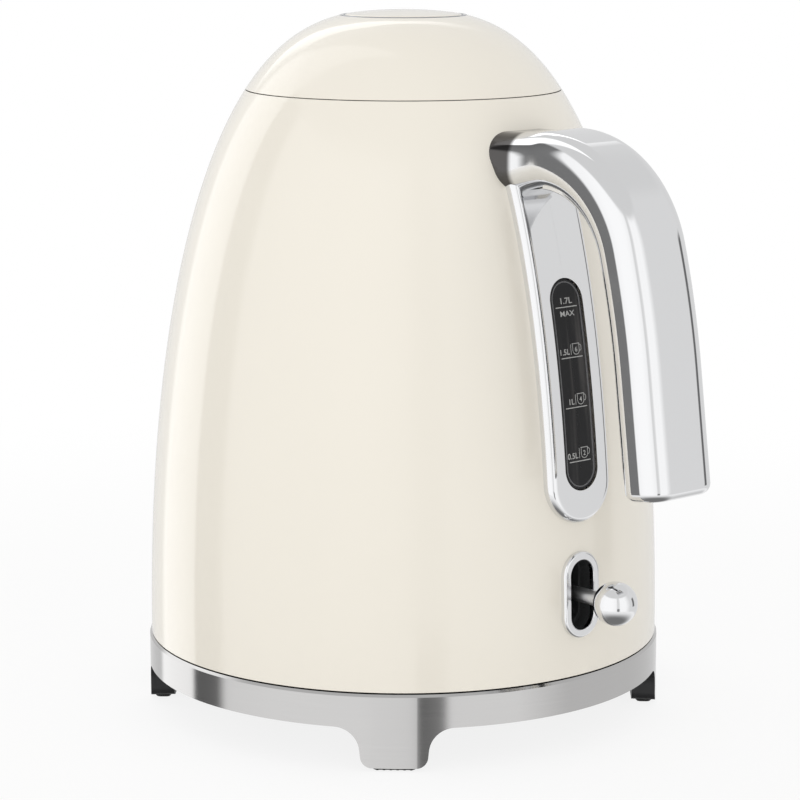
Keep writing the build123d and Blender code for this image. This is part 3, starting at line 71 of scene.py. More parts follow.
SCREW_HEAD, SCREW_HEAD_HEIGHT, SCREW_SHANK = 3.0, 1.6, 1.55
# Screws: piece, body, node, circle's radius, first angle, count, height under the head, length
SCREW_SETS = (
    ("base_cross_screws", "base", "base_screws", 64.0, 45.0, 4, 13.0, 8.0),
    ("bottom_cross_screws", "kettle", "bottom_screws", 70.0, 60.0, 3, 26.5, 44.5),
)

# Sizes of the scene's own detail. The lid seam is finer here than in the solids, and the body's rim
# falls away inward so that the lid's edge swings clear.
SEAM_GAP, RIM_ROUND, RIM_FALL, RIM_ARC_END = 0.14, 0.2, 1.1, 150
SLOT_CUT_HALF, SLOT_CUT_EXTRA, STEEL_SHARE = 13, 2, 0.6
CAP_CORNER_DROP, COLLAR_PLAY = 0.72, 0.02
HANDLE_TRIM = 0.04  # keeps the handle inside the solid's box
SHEET_SINK, BEZEL_SINK, SLIT = 0.25, 0.2, 0.01
LENS_ROUND, BEAD_INSET, BEAD_RADIUS = 0.4, 1.35, 0.26
RECESS_LONG, RECESS_SHORT, RECESS_DEPTH, SCREW_POINT = 1.7, 0.34, 0.75, 0.6
SOLE, PAD_EDGE, RIBS, RIB_SHARE = 0.2, 0.4, 6, 6.6
RIB_INSET, RIB_TIP, RIB_ROOT, RIB_SINK = 0.6, 0.35, 0.6, 0.1
# Level marks: height, label, cups
MARKS = ((152.5, "1.7L", None), (135.8, "1.5L", "6"), (119.2, "1L", "4"), (101.2, "0.5L", "2"))
MARK_LIFT, RULE_WIDTH, FINE_RULE = 0.04, 0.3, 0.22


# Finishes

class Tone:
    """A value in a finish's node tree. Arithmetic on it adds Math nodes."""

    def __init__(self, tree, socket=None):
        self.tree = tree
        self.socket = socket

    def node(self, kind, settings=None, inputs=None, output=0):
        made = self.tree.nodes.new(kind)
        for name, value in (settings or {}).items():
            if name == "stops":
                ramp = made.color_ramp
                while len(ramp.elements) < len(value):
                    ramp.elements.new(1.0)
                for stop, (place, colour) in zip(ramp.elements, value):
                    stop.position = place
                    stop.color = (*colour, 1.0)
            else:
                setattr(made, name, value)
        for name, value in (inputs or {}).items():
            if isinstance(value, Tone):
                self.tree.links.new(value.socket, made.inputs[name])
            else:
                made.inputs[name].default_value = value
        return Tone(self.tree, made.outputs[output] if made.outputs else None)

    def maths(self, operation, *values):
        return self.node("ShaderNodeMath", {"operation": operation}, dict(enumerate(values)))

    def __add__(self, other):
        return self.maths("ADD", self, other)

    def __radd__(self, other):
        return self.maths("ADD", other, self)

    def __sub__(self, other):
        return self.maths("SUBTRACT", self, other)

    def __rsub__(self, other):
        return self.maths("SUBTRACT", other, self)

    def __mul__(self, other):
        return self.maths("MULTIPLY", self, other)

    def __rmul__(self, other):
        return self.maths("MULTIPLY", other, self)

    def __truediv__(self, other):
        return self.maths("DIVIDE", self, other)

    def __rtruediv__(self, other):
        return self.maths("DIVIDE", other, self)

    def fade(self, low, high):
        """0 below low, 1 above high, smooth between."""
        ends = {"Value": self, "From Min": low, "From Max": high}
        return self.node("ShaderNodeMapRange", {"interpolation_type": "SMOOTHSTEP"}, ends)

    def mix(self, first, second):
        """Colour that goes from first to second as this value goes from 0 to 1."""
        return self.node("ShaderNodeMix", {"data_type": "RGBA"}, {0: self, 6: first, 7: second}, 2)

    def along(self, direction):
        settings = {"operation": "DOT_PRODUCT"}
        return self.node("ShaderNodeVectorMath", settings, {0: self, 1: direction}, "Value")

    def parts(self):
        split = self.node("ShaderNodeSeparateXYZ", None, {0: self})
        return [Tone(self.tree, socket) for socket in split.socket.node.outputs]


class Finish:
    """A material with one Principled shader."""

    def __init__(self, name, **steady):
        self.material = bpy.data.materials.new(name)
        self.material.use_nodes = True
        tree = self.material.node_tree
        tree.nodes.clear()
        self.start = Tone(tree)
        self.shader = self.start.node("ShaderNodeBsdfPrincipled").socket.node
        for socket, value in steady.items():
            self.shader.inputs[socket.replace("_", " ")].default_value = value
        self.start.node("ShaderNodeOutputMaterial", None, {"Surface": Tone(tree, self.shader.outputs[0])})
        self.place = self.start.node("ShaderNodeTexCoord", output="Object")

    def set(self, socket, tone):
        self.start.tree.links.new(tone.socket, self.shader.inputs[socket])

    def stretched(self, *scale):
        return self.start.node("ShaderNodeMapping", None, {"Vector": self.place, "Scale": scale})

    def noise(self, scale, detail=3.0, roughness=0.5, place=None):
        inputs = {"Vector": place or self.place, "Scale": scale, "Detail": detail, "Roughness": roughness}
        return self.start.node("ShaderNodeTexNoise", None, inputs)

    def dent(self, height, depth, strength=1.0):
        inputs = {"Height": height, "Distance": depth, "Strength": strength}
        self.set("Normal", self.start.node("ShaderNodeBump", None, inputs))

    def around(self, ring, rise):
        """Coordinates that run round the upright axis, up it and out from it."""
        x, y, z = self.place.parts()
        turn = x.maths("ARCTAN2", y, x)
        out = x.maths("SQRT", x * x + y * y)
        return self.start.node("ShaderNodeCombineXYZ", None, {0: turn * ring, 1: z * rise, 2: out * rise})


def tinted(colour, by):
    return tuple(min(1.0, part * by) for part in colour) + (1.0,)


def cream_enamel(name, colour, peel):
    """Gloss cream coat over a faintly uneven colour, with a fine orange peel."""
    finish = Finish(name, IOR=1.5, Coat_Weight=1.0, Coat_Roughness=0.035, Coat_IOR=1.5)
    clouds = finish.noise(9.0, 2.0)
    finish.set("Base Color", clouds.mix(tinted(colour, 0.985), tinted(colour, 1.015)))
    finish.set("Roughness", finish.noise(60.0, 2.0) * 0.12 + 0.3)
    finish.dent(finish.noise(420.0, 1.0), peel)
    return finish.material


def bright_plate(name, colour, low, high, root=None):
    """Polished plating with the faint smears of handling. Where a root's two X values are given, the colour
    darkens towards that root as a painted dark reflection.
    """
    finish = Finish(name, Metallic=1.0)
    smears = finish.noise(22.0, 4.0, 0.62, finish.stretched(1.0, 1.0, 2.4)).fade(0.42, 0.72)
    finish.set("Roughness", smears * (high - low) + low)
    tone = finish.noise(14.0, 2.0).mix(tinted(colour, 0.98), tinted(colour, 1.01))
    if root:
        # painted reflection: the plating's colour darkens towards the root, in place of the dark it would
        # mirror there
        bare = finish.place.parts()[0].fade(root[0] * MM, root[1] * MM)
        tone = bare.mix(ROOT_PAINTED_REFLECTION, tone)
    finish.set("Base Color", tone)
    return finish.material


def ring_metal(name, colour):
    """Polished ring with the fine lines of turning round it."""
    finish = Finish(name, Metallic=1.0)
    lines = finish.noise(1.0, 4.0, 0.65, finish.around(4.0, 5200.0))
    clouds = finish.noise(30.0, 3.0)
    finish.set("Roughness", lines * 0.06 + clouds * 0.05 + 0.05)
    finish.set("Base Color", lines.mix(tinted(colour, 0.94), tinted(colour, 1.05)))
    finish.dent(lines, 0.0000025)
    return finish.material


def brushed_sheet(name, colour, rough, grain=(60.0, 60.0, 2600.0)):
    finish = Finish(name, Metallic=1.0)
    lines = finish.noise(1.0, 4.0, 0.6, finish.stretched(*grain))
    finish.set("Roughness", lines * 0.16 + (rough - 0.08))
    finish.set("Base Color", lines.mix(tinted(colour, 0.92), tinted(colour, 1.06)))
    finish.dent(lines, 0.000006)
    return finish.material


def moulded(name, colour, rough, grain, depth):
    """Moulded plastic or rubber with the spark grain of its tool."""
    finish = Finish(name, IOR=1.46)
    spark = finish.noise(grain, 2.0, 0.6)
    finish.set("Base Color", finish.noise(40.0, 3.0).mix(tinted(colour, 0.93), tinted(colour, 1.07)))
    finish.set("Roughness", spark * 0.16 + (rough - 0.08))
    finish.dent(spark, depth)
    return finish.material


def smoked(name):
    """Smoked clear plastic: dark, deep and glossy, with lighter upright streaks in its colour as painted
    reflections.
    """
    finish = Finish(name, IOR=1.33)
    # painted reflections: the colour runs in upright streaks from near black to dark grey
    depth = finish.noise(230.0, 2.0, 0.5, finish.stretched(0.3, 1.0, 0.02)).fade(0.42, 0.70)
    finish.set("Base Color", depth.mix((0.010, 0.010, 0.011, 1.0), (0.075, 0.070, 0.068, 1.0)))
    finish.set("Roughness", finish.noise(90.0, 2.0) * 0.06 + 0.08)
    return finish.material


CREAM = (0.915, 0.865, 0.762)
BRIGHT = (0.80, 0.803, 0.812)
# Painted reflection on the handle's root: its dark colour, and the X values in millimetres over which it
# fades into the plating
ROOT_PAINTED_REFLECTION, ROOT_REFLECTION_FADE = (0.10, 0.096, 0.094, 1.0), (69.5, 72.0)
FINISHES = {
    "cream_paint": cream_enamel("cream_enamel", CREAM, 0.000004),
    "cream_plastic": cream_enamel("cream_cap", CREAM, 0.000003),
    "bright_metal": bright_plate("bright_plate", BRIGHT, 0.045, 0.11),
    "base_metal": ring_metal("turned_ring", (0.53, 0.524, 0.52)),
    "stainless": brushed_sheet("satin_sheet", (0.66, 0.655, 0.645), 0.30),
    "dark_plastic": moulded("black_moulding", (0.017, 0.017, 0.018), 0.46, 1500.0, 0.00002),
    "grey_plastic": moulded("grey_moulding", (0.15, 0.15, 0.155), 0.44, 1400.0, 0.00002),
    "smoked_lens": smoked("smoked_lens"),
    "rubber": moulded("soft_rubber", (0.022, 0.022, 0.022), 0.72, 900.0, 0.00004),
    "silicone": moulded("pale_silicone", (0.55, 0.55, 0.53), 0.5, 700.0, 0.00002),
    "aluminium": brushed_sheet("rolled_aluminium", (0.75, 0.75, 0.755), 0.36, (900.0, 60.0, 60.0)),
    "brass": brushed_sheet("contact_brass", (0.74, 0.55, 0.24), 0.26, (500.0, 500.0, 500.0)),
    "screw_steel": brushed_sheet("zinc_steel", (0.56, 0.57, 0.58), 0.32, (700.0, 700.0, 700.0)),
    "spring_steel": brushed_sheet("drawn_wire", (0.48, 0.48, 0.49), 0.28, (900.0, 900.0, 900.0)),
}
# The handle's plating, its root darkened as a painted reflection
HANDLE_PLATE_PAINTED_ROOT = bright_plate("handle_plate_painted_root", BRIGHT, 0.045, 0.11, ROOT_REFLECTION_FADE)
# Painted reflection: the collar's chrome is coloured dark blue-grey in place of the dark it mirrors
COLLAR_PLATE_PAINTED_DARK = bright_plate("collar_plate_painted_dark", (0.30, 0.31, 0.335), 0.06, 0.12)
SATIN_STEM = bright_plate("satin_stem", (0.72, 0.72, 0.725), 0.34, 0.42)
SLOT_LINER = moulded("slot_liner", (0.045, 0.046, 0.047), 0.30, 1500.0, 0.00001)
PRINT = moulded("level_print", (0.52, 0.52, 0.51), 0.55, 1800.0, 0.000004)
SLOT_OF = {part["node"]: part["material_slot"] for part in frame["record"]["subparts"]}
for node, solid in frame["nodes"].items():
    solid.data.materials.clear()
    solid.data.materials.append(SLOT_LINER if node == "slot_liner" else FINISHES[SLOT_OF[node]])


# The dome curve, as in the solids

def body_radius(z):
    rise = max(0.0, (z - FOOT) / (CROWN - FOOT))
    return GIRTH * (1 - rise**RISE_POWER) ** (1 / CROWN_POWER)


def body_slope(z):
    rise = (z - FOOT) / (CROWN - FOOT)
    if rise <= 0:
        return 0.0
    steep = RISE_POWER / CROWN_POWER * rise ** (RISE_POWER - 1)
    return -GIRTH / (CROWN - FOOT) * steep * (1 - rise**RISE_POWER) ** (1 / CROWN_POWER - 1)


def shell_radius(z, inset):
    """Radius at height z of the dome curve moved inward along its normal."""
    foot = z
    for _ in range(40):
        slope = body_slope(foot)
        foot = min(z - inset * slope / math.hypot(1, slope), CROWN - 0.02)
    return body_radius(foot) - inset / math.hypot(1, body_slope(foot))


def shell_height(radius, inset=0.0):
    low, high = FOOT, CROWN - inset - 0.05
    for _ in range(50):
        middle = (low + high) / 2
        if shell_radius(middle, inset) > radius:
            low = middle
        else:
            high = middle
    return low


def levels(low, high, count):
    """Heights that crowd towards the top."""
    return [low + (high - low) * math.sin(math.pi / 2 * i / count) for i in range(count + 1)]


def arc(centre, radius, start, end, count):
    """Points on a circle, with angles in degrees."""
    angles = [math.radians(start + (end - start) * i / count) for i in range(count + 1)]
    return [(centre[0] + radius * math.cos(a), centre[1] + radius * math.sin(a)) for a in angles]


# Mesh work

def skin(loops, wrap=False):
    """Points and faces between rings of equally many points."""
    size = len(loops[0])
    points = [point for loop in loops for point in loop]
    faces = []
    for row in range(len(loops) if wrap else len(loops) - 1):
        here, there = row * size, (row + 1) % len(loops) * size
        for i in range(size):
            j = (i + 1) % size
            faces.append((here + i, here + j, there + j, there + i))
    return points, faces


def turned(profile, sides=192, wrap=True):
    """Turned form from (radius, height) points."""
    turns = [2 * math.pi * i / sides for i in range(sides)]
    return skin([[(r * math.cos(a), r * math.sin(a), z) for a in turns] for r, z in profile], wrap)


def merged(name, *forms):
    """One clean mesh, in metres, from forms in millimetres."""
    points, faces = [], []
    for form_points, form_faces in forms:
        first = len(points)
        points += [(x * MM, y * MM, z * MM) for x, y, z in form_points]
        faces += [tuple(first + i for i in face) for face in form_faces]
    mesh = bpy.data.meshes.new(name)
    mesh.from_pydata(points, [], faces)
    work = bmesh.new()
    work.from_mesh(mesh)
    bmesh.ops.remove_doubles(work, verts=work.verts, dist=2e-6)
    bmesh.ops.dissolve_degenerate(work, edges=work.edges, dist=1e-6)
    bmesh.ops.recalc_face_normals(work, faces=work.faces)
    work.to_mesh(mesh)
    work.free()
    return mesh


def loose(name, mesh):
    piece = bpy.data.objects.new(name, mesh)
    scene.collection.objects.link(piece)
    return piece


def settled(piece):
    """The piece's mesh with its modifiers made plain, and the modifiers gone."""
    bpy.context.view_layer.update()
    mesh = bpy.data.meshes.new_from_object(piece.evaluated_get(bpy.context.evaluated_depsgraph_get()))
    piece.modifiers.clear()
    piece.data = mesh
    return piece


def cut(piece, *cutters):
    for cutter in cutters:
        tool = loose("cutter", cutter)
        trim = piece.modifiers.new("cut", "BOOLEAN")
        trim.object = tool
        trim.solver = "EXACT"
        settled(piece)
        bpy.data.objects.remove(tool)
    return piece


def fit(piece, body, slot, finishes, *nodes, crease=32):
    """Smooths a piece, dresses it and sets it on its body."""
    mesh = piece.data
    for i, finish in enumerate(finishes):
        if i < len(mesh.materials):
            mesh.materials[i] = finish
        else:
            mesh.materials.append(finish)
    mesh.shade_smooth()
    mesh.set_sharp_from_angle(angle=math.radians(crease))
    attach(piece, body)
    if nodes:
        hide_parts(*nodes)
    return piece


def stadium(width, low, high, inset=0.0, along=64, bend=28):
    """(y, z) points round an upright stadium shrunk by inset, always equally many."""
    radius, top, bottom = width / 2 - inset, high - width / 2, low + width / 2
    ends = arc((0, top), radius, 0, 180, bend)[:-1]
    side = [(-radius, top + (bottom - top) * i / along) for i in range(along)]
    tail = arc((0, bottom), radius, 180, 360, bend)[:-1]
    return ends + side + tail + [(radius, bottom + (top - bottom) * i / along) for i in range(along)]


def on_slab(outline, proud):
    """Outline laid on the dome's profile, straight across in Y."""
    return [(shell_radius(z, -proud), y, z) for y, z in outline]


def on_body(outline, sink):
    """Outline laid round the body itself."""
    return [(math.sqrt((body_radius(z) - sink) ** 2 - y * y), y, z) for y, z in outline]


# Body, beak and lid

def lid_rim(edge):
    """Rounded edge of the lid's sheet at the seam, from outside to inside."""
    middle = edge + RIM_ROUND
    outside, inside = shell_radius(middle, 0), shell_radius(middle, WALL)
    half = (outside - inside) / 2
    turns = [math.pi * i / 10 for i in range(11)]
    return [(inside + half + half * math.cos(a), middle - RIM_ROUND * math.sin(a)) for a in turns]


def painted_body():
    """Body with its rim bevelled inward, cut for the lever and the beak, and bare steel inside."""
    top = SEAM - SEAM_GAP / 2
    lean = math.degrees(math.atan(-body_slope(top)))
    crest = top - RIM_ROUND * (1 - math.sin(math.radians(lean)))
    middle = (body_radius(crest) - RIM_ROUND * math.cos(math.radians(lean)), top - RIM_ROUND)
    outside = [(body_radius(z), z) for z in levels(FOOT, crest, 90)]
    inside = [(shell_radius(z, WALL), z) for z in levels(FOOT, top - RIM_FALL, 60)]
    profile = outside[:-1] + arc(middle, RIM_ROUND, lean, RIM_ARC_END, 8) + inside[::-1]
    piece = loose("painted_body", merged("painted_body", turned(profile, 256)))
    low, high = LEVER_HEIGHT - SLOT_CUT_HALF, LEVER_HEIGHT + SLOT_CUT_HALF
    slot = stadium(SLOT_WIDTH + SLOT_CUT_EXTRA, low, high, 0, 4, 12)
    lever_slot = merged("slot", capped([[(x, y, z) for y, z in slot] for x in (60, 110)]))
    mouth = merged("mouth", capped([[(x, y, z) for y, z in pour_gap()] for x in (-90, -40)]))
    cut(piece, lever_slot, mouth)
    inner = [shell_radius(z, WALL * STEEL_SHARE) for z in range(int(FOOT), int(top) + 1)]
    for face in piece.data.polygons:
        x, y, z = face.center / MM
        face.material_index = int(math.hypot(x, y) < inner[min(int(z - FOOT), len(inner) - 1)])
    return piece


def pour_gap():
    """Outline of the way from the vessel into the beak."""
    side = [(1.6, 183.0), (4.0, 189.0), (8.6, 195.5), (14.0, 203.0), (16.5, 209.9)]
    return side + [(-y, z) for y, z in side[::-1]]


def capped(loops):
    points, faces = skin(loops)
    size = len(loops[0])
    faces.append(tuple(range(size))[::-1])
    faces.append(tuple(len(points) - size + i for i in range(size)))
    return points, faces


def beak_plan(z, wall, count):
    """Half plan of the beak at a height: nose, then a flank that sweeps out along the body."""
    foot, top = SEAM - BEAK_LOW, SEAM - BEAK_DROP
    grow = (z - foot) / (top - foot)
    body = body_radius(z)
    nose = BEAK_NOSE * (0.6 + 0.4 * grow)
    centre = body - BEAK_SINK + (BEAK_REACH + BEAK_SINK) * max(0.0, grow) ** BEAK_POWER - nose
    spread = math.radians(BEAK_SPREAD * (0.35 + 0.65 * grow)) - wall / body
    lean = math.radians(BEAK_LEAN)
    tight = nose - wall
    root = Vector((-math.cos(spread), math.sin(spread))) * (body - BEAK_SINK)
    touch = Vector((-centre - tight * math.sin(lean), tight * math.cos(lean)))
    reach = (root - touch).length
    away = Vector((math.cos(lean), math.sin(lean))) * reach
    along = Vector((math.sin(spread), math.cos(spread))) * reach
    points = arc((-centre, 0), tight, 180, 90 + BEAK_LEAN, count)
    for i in range(1, count * 2 + 1):
        t = i / (count * 2)
        a, b = 2 * t**3 - 3 * t**2 + 1, t**3 - 2 * t**2 + t
        c, d = -2 * t**3 + 3 * t**2, t**3 - t**2
        points.append(tuple(touch * a + away * b + root * c + along * d))
    return points


def pouring_beak():
    rows, count = 26, 12
    foot, top = SEAM - BEAK_LOW, SEAM - BEAK_DROP
    slope = math.tan(math.radians(BEAK_TILT))
    walls = []
    for wall in (0.0, WALL):
        lip = []
        for i in range(count * 3 + 1):
            z = top
            for _ in range(8):
                z = top - slope * max(0.0, -beak_plan(z, wall, count)[i][0] - body_radius(SEAM))
            lip.append(z)
        grid = []
        for row in range(rows + 1):
            half = []
            for i in range(count * 3 + 1):
                z = foot + (lip[i] - foot) * row / rows
                half.append((*beak_plan(z, wall, count)[i], z))
            grid.append([(x, -y, z) for x, y, z in half[:0:-1]] + half)
        walls.append(grid)
    loops = [outer + inner[::-1] for outer, inner in zip(*walls)]
    points, faces = skin(loops)
    size, span = len(loops[0]), len(loops[0]) // 2
    for first in (0, rows * size):
        for i in range(span - 1):
            faces.append((first + i, first + i + 1, first + size - 2 - i, first + size - 1 - i))
    return loose("drawn_beak", merged("drawn_beak", (points, faces)))


def domed_lid():
    edge = SEAM + SEAM_GAP / 2
    hole, under = shell_height(LID_HOLE), shell_height(LID_HOLE, WALL)
    outside = [(body_radius(z), z) for z in levels(edge + RIM_ROUND, hole, 70)]
    inside = [(shell_radius(z, WALL), z) for z in levels(edge + RIM_ROUND, under, 50)]
    profile = lid_rim(edge)[::-1] + outside[1:] + inside[::-1][:-1]
    return loose("domed_lid", merged("domed_lid", turned(profile, 224)))


def lid_cap():
    """Push button: crowned cap with its skirt, stem and cone."""
    edge = shell_height(BUTTON_RADIUS)
    drop = CROWN - edge
    ball = (BUTTON_RADIUS**2 + drop**2) / (2 * drop)
    lean = math.degrees(math.asin(BUTTON_RADIUS / ball))
    crown = arc((0, CROWN - ball), ball, 90, 90 - lean, 40)[:-2]
    corner = arc((BUTTON_RADIUS - BUTTON_ROUND, edge - CAP_CORNER_DROP), BUTTON_ROUND, 90 - lean, 0, 8)
    skirt, inner, roof = edge - BUTTON_SKIRT, BUTTON_RADIUS - BUTTON_WALL, CROWN - BUTTON_WALL
    hollow = arc((0, roof - ball), ball, 90 - lean * 0.88, 90 - lean * 0.22, 14)
    wedge = BOLT_TOP + BUTTON_TRAVEL
    tip = wedge - BUTTON_STEM + CONE_TIP
    profile = crown + corner + [(BUTTON_RADIUS, skirt), (inner, skirt)] + hollow
    profile += [(BUTTON_STEM, hollow[-1][1]), (BUTTON_STEM, wedge), (CONE_TIP, tip), (0, tip)]
    return loose("lid_cap", merged("lid_cap", turned(profile, 160, False)))


def cap_collar():
    top = shell_height(LID_HOLE) + COLLAR_PROUD
    lip = (LID_HOLE - COLLAR_BORE) / 3
    under = shell_height(LID_HOLE + COLLAR_FLANGE, WALL)
    flange = LID_HOLE + COLLAR_FLANGE
    profile = arc((LID_HOLE - lip, top - lip), lip, 0, 90, 6)
    profile += arc((COLLAR_BORE + lip, top - lip), lip, 90, 180, 6)
    profile += [(COLLAR_BORE, top - COLLAR_HEIGHT), (LID_HOLE, top - COLLAR_HEIGHT)]
    profile += [(LID_HOLE, under - COLLAR_SHEET), (flange, under - COLLAR_SHEET)]
    profile += [(flange, under - COLLAR_PLAY), (LID_HOLE, shell_height(LID_HOLE, WALL) - COLLAR_PLAY)]
    return loose("cap_collar", merged("cap_collar", turned(profile, 160)))


# Handle

def handle_line(start_shift, end_height):
    """Stations down the handle: centre, direction and how far the section shrinks or spreads."""
    stations = []
    if start_shift:
        for i in range(16):
            share = i / 16
            x = ARM_REACH - ROOT_LENGTH * (1 - share)
            z = ARM_HEIGHT - ROOT_DIP * (1 - share) ** ROOT_DIP_POWER
            stations.append((x, z, 0.0, ROOT_FLARE * (1 - share) ** ROOT_POWER))
    for i in range(41):
        turn = math.radians(BEND_ANGLE * i / 40)
        x = ARM_REACH + BEND_RADIUS * math.sin(turn)
        stations.append((x, ARM_HEIGHT - BEND_RADIUS * (1 - math.cos(turn)), turn, 0.0))
    x0, z0, turn0, _ = stations[-1]
    centre = (x0 - LEAN_RADIUS * math.sin(turn0), z0 - LEAN_RADIUS * math.cos(turn0))
    for i in range(1, 11):
        turn = turn0 + math.radians(LEAN_ANGLE * i / 10)
        x = centre[0] + LEAN_RADIUS * math.sin(turn)
        stations.append((x, centre[1] + LEAN_RADIUS * math.cos(turn), turn, 0.0))
    x0, z0, turn, _ = stations[-1]
    run = (z0 - end_height) / math.sin(turn)
    return stations, (x0, z0, turn, run)


def rounded_bar(width, thick, corner, shrink=0.0):
    """(across, outward) points of a round-cornered section, with close points beside the corners."""
    corner = max(corner - shrink, 0.05)
    w, t = width / 2 - shrink - corner, thick / 2 - shrink - corner
    points = []
    for (cx, cy), start in (((w, t), 0), ((-w, t), 90), ((-w, -t), 180), ((w, -t), 270)):
        points += arc((cx, cy), corner, start, start + 90, 12)
    filled = []
    for i, (a, b) in enumerate(zip(points, points[1:] + points[:1])):
        filled.append(a)
        if i % 13 == 12:
            filled += [tuple(a[k] + (b[k] - a[k]) * s for k in (0, 1)) for s in (0.04, 0.35, 0.65, 0.96)]
    return filled


def bar_loop(station, section, shift=0.0):
    x, z, turn, _ = station
    out = (math.sin(turn), math.cos(turn))
    return [(x + out[0] * (b + shift), a, z + out[1] * (b + shift)) for a, b in section]


def closing(loops):
    """Skin whose two ends are drawn to a point."""
    ends = []
    for loop in (loops[0], loops[-1]):
        middle = [sum(point[k] for point in loop) / len(loop) for k in range(3)]
        ends.append([tuple(middle)] * len(loop))
    return skin([ends[0]] + loops + [ends[1]])


def bright_handle():
    stations, (x0, z0, turn, run) = handle_line(True, HANDLE_END)
    thick = HANDLE_THICK - HANDLE_TRIM
    loops = []
    for station in stations:
        flare = station[3]
        section = rounded_bar(HANDLE_WIDTH + 2 * flare, thick + 2 * flare, HANDLE_CORNER + flare)
        loops.append(bar_loop(station, section))
    down = (math.cos(turn), -math.sin(turn))
    for share in (0.25, 0.5, 0.75, 0.97):
        length = (run - END_ROUND) * share
        station = (x0 + down[0] * length, z0 + down[1] * length, turn, 0.0)
        loops.append(bar_loop(station, rounded_bar(HANDLE_WIDTH, thick, HANDLE_CORNER)))
    for i in range(11):
        angle = math.pi / 2 * i / 10
        length = run - END_ROUND + END_ROUND * math.sin(angle)
        station = (x0 + down[0] * length, z0 + down[1] * length, turn, 0.0)
        shrink = END_ROUND * (1 - math.cos(angle))
        loops.append(bar_loop(station, rounded_bar(HANDLE_WIDTH, thick, HANDLE_CORNER, shrink)))
    return loose("bright_handle", merged("bright_handle", closing(loops)))


def grip_strip():
    stations, (x0, z0, turn, run) = handle_line(False, HANDLE_END + STRIP_END)
    depth = STRIP_DEPTH + STRIP_PROUD
    section = rounded_bar(STRIP_WIDTH, depth, STRIP_ROUND)
    shift = -HANDLE_THICK / 2 + STRIP_DEPTH - depth / 2
    for share in (0.5, 1.0):
        length = run * share
        stations.append((x0 + math.cos(turn) * length, z0 - math.sin(turn) * length, turn, 0.0))
    return loose("grip_strip", merged("grip_strip", closing([bar_loop(s, section, shift) for s in stations])))


# Backplate, lens and lever

def back_plate():
    def loop(inset, proud):
        return on_slab(stadium(PLATE_WIDTH, PLATE_LOW, PLATE_TOP, inset), proud)

    edge = PLATE_PROUD - PLATE_BEVEL
    half = PLATE_WIDTH / 2
    turns = [math.pi / 2 * i / 8 for i in range(9)]
    front = [loop(PLATE_BEVEL * (1 - math.cos(a)), edge + PLATE_BEVEL * math.sin(a)) for a in turns[1:]]
    front += [loop(inset, PLATE_PROUD) for inset in (PLATE_BEVEL + 0.3, 6, 9, 12, half - SLIT)]
    back = [on_body(stadium(PLATE_WIDTH, PLATE_LOW, PLATE_TOP, inset), SHEET_SINK)
            for inset in (half - SLIT, 9, 4, 0)]
    loops = back + [loop(0, edge)] + front
    piece = loose("back_plate", merged("back_plate", skin(loops)))
    hole = stadium(LENS_WIDTH, LENS_LOW, LENS_TOP)
    return cut(piece, merged("lens_hole", capped([[(x, y, z) for y, z in hole] for x in (50, 120)])))


def level_lens():
    def loop(inset, proud):
        return on_slab(stadium(LENS_WIDTH, LENS_LOW, LENS_TOP, inset), proud)

    half = LENS_WIDTH / 2 - SLIT
    round_over = []
    for a in [math.pi / 2 * i / 5 for i in range(6)]:
        inset = LENS_GAP + LENS_ROUND * (1 - math.cos(a))
        round_over.append(loop(inset, LENS_PROUD - LENS_ROUND + LENS_ROUND * math.sin(a)))
    front = [loop(inset, LENS_PROUD) for inset in (0.7, 3.0, 5.0, half)]
    back = [on_body(stadium(LENS_WIDTH, LENS_LOW, LENS_TOP, inset), SHEET_SINK)
            for inset in (half, 4.0, LENS_GAP)]
    return loose("level_lens", merged("level_lens", skin(back + round_over + front)))


def lever_surround():
    low, high = LEVER_HEIGHT - SLOT_HEIGHT / 2 - BEZEL_RIM, LEVER_HEIGHT + SLOT_HEIGHT / 2 + BEZEL_RIM
    width, inner = SLOT_WIDTH + 2 * BEZEL_RIM, BEZEL_ROUND / 2

    def outline(inset):
        return stadium(width, low, high, inset, 24, 32)

    loops = [on_body(outline(0), BEZEL_SINK)]
    for i in range(9):
        a = math.pi / 2 * i / 8
        proud = BEZEL_PROUD - BEZEL_ROUND + BEZEL_ROUND * math.sin(a)
        loops.append(on_slab(outline(BEZEL_ROUND * (1 - math.cos(a))), proud))
    for i in range(7):
        a = math.pi / 2 * i / 6
        proud = BEZEL_PROUD - inner + inner * math.cos(a)
        loops.append(on_slab(outline(BEZEL_RIM - inner + inner * math.sin(a)), proud))
    loops.append(on_body(outline(BEZEL_RIM), BEZEL_SINK))
    return loose("lever_surround", merged("lever_surround", skin(loops, True)))


def lever_rod():
    """Tapered stem and ball end, turned and laid along X."""
    length = STEM_END - STEM_START
    stem = [(0, STEM_START), (STEM_THIN, STEM_START)]
    for share in (0.25, 0.5, 0.75, 1.0):
        stem.append((STEM_THIN + (STEM_THICK - STEM_THIN) * share, STEM_START + length * share))
    stem.append((0, STEM_END))
    ball = arc((0, BALL_X), BALL_RADIUS, -90, 90, 48)
    pieces = []
    for name, profile, sides in (("lever_stem_rod", stem, 48), ("lever_ball", ball, 96)):
        points, faces = turned(profile, sides, False)
        laid = [(z, y, LEVER_HEIGHT - x) for x, y, z in points]
        pieces.append(loose(name, merged(name, (laid, faces))))
    return pieces


# Power base

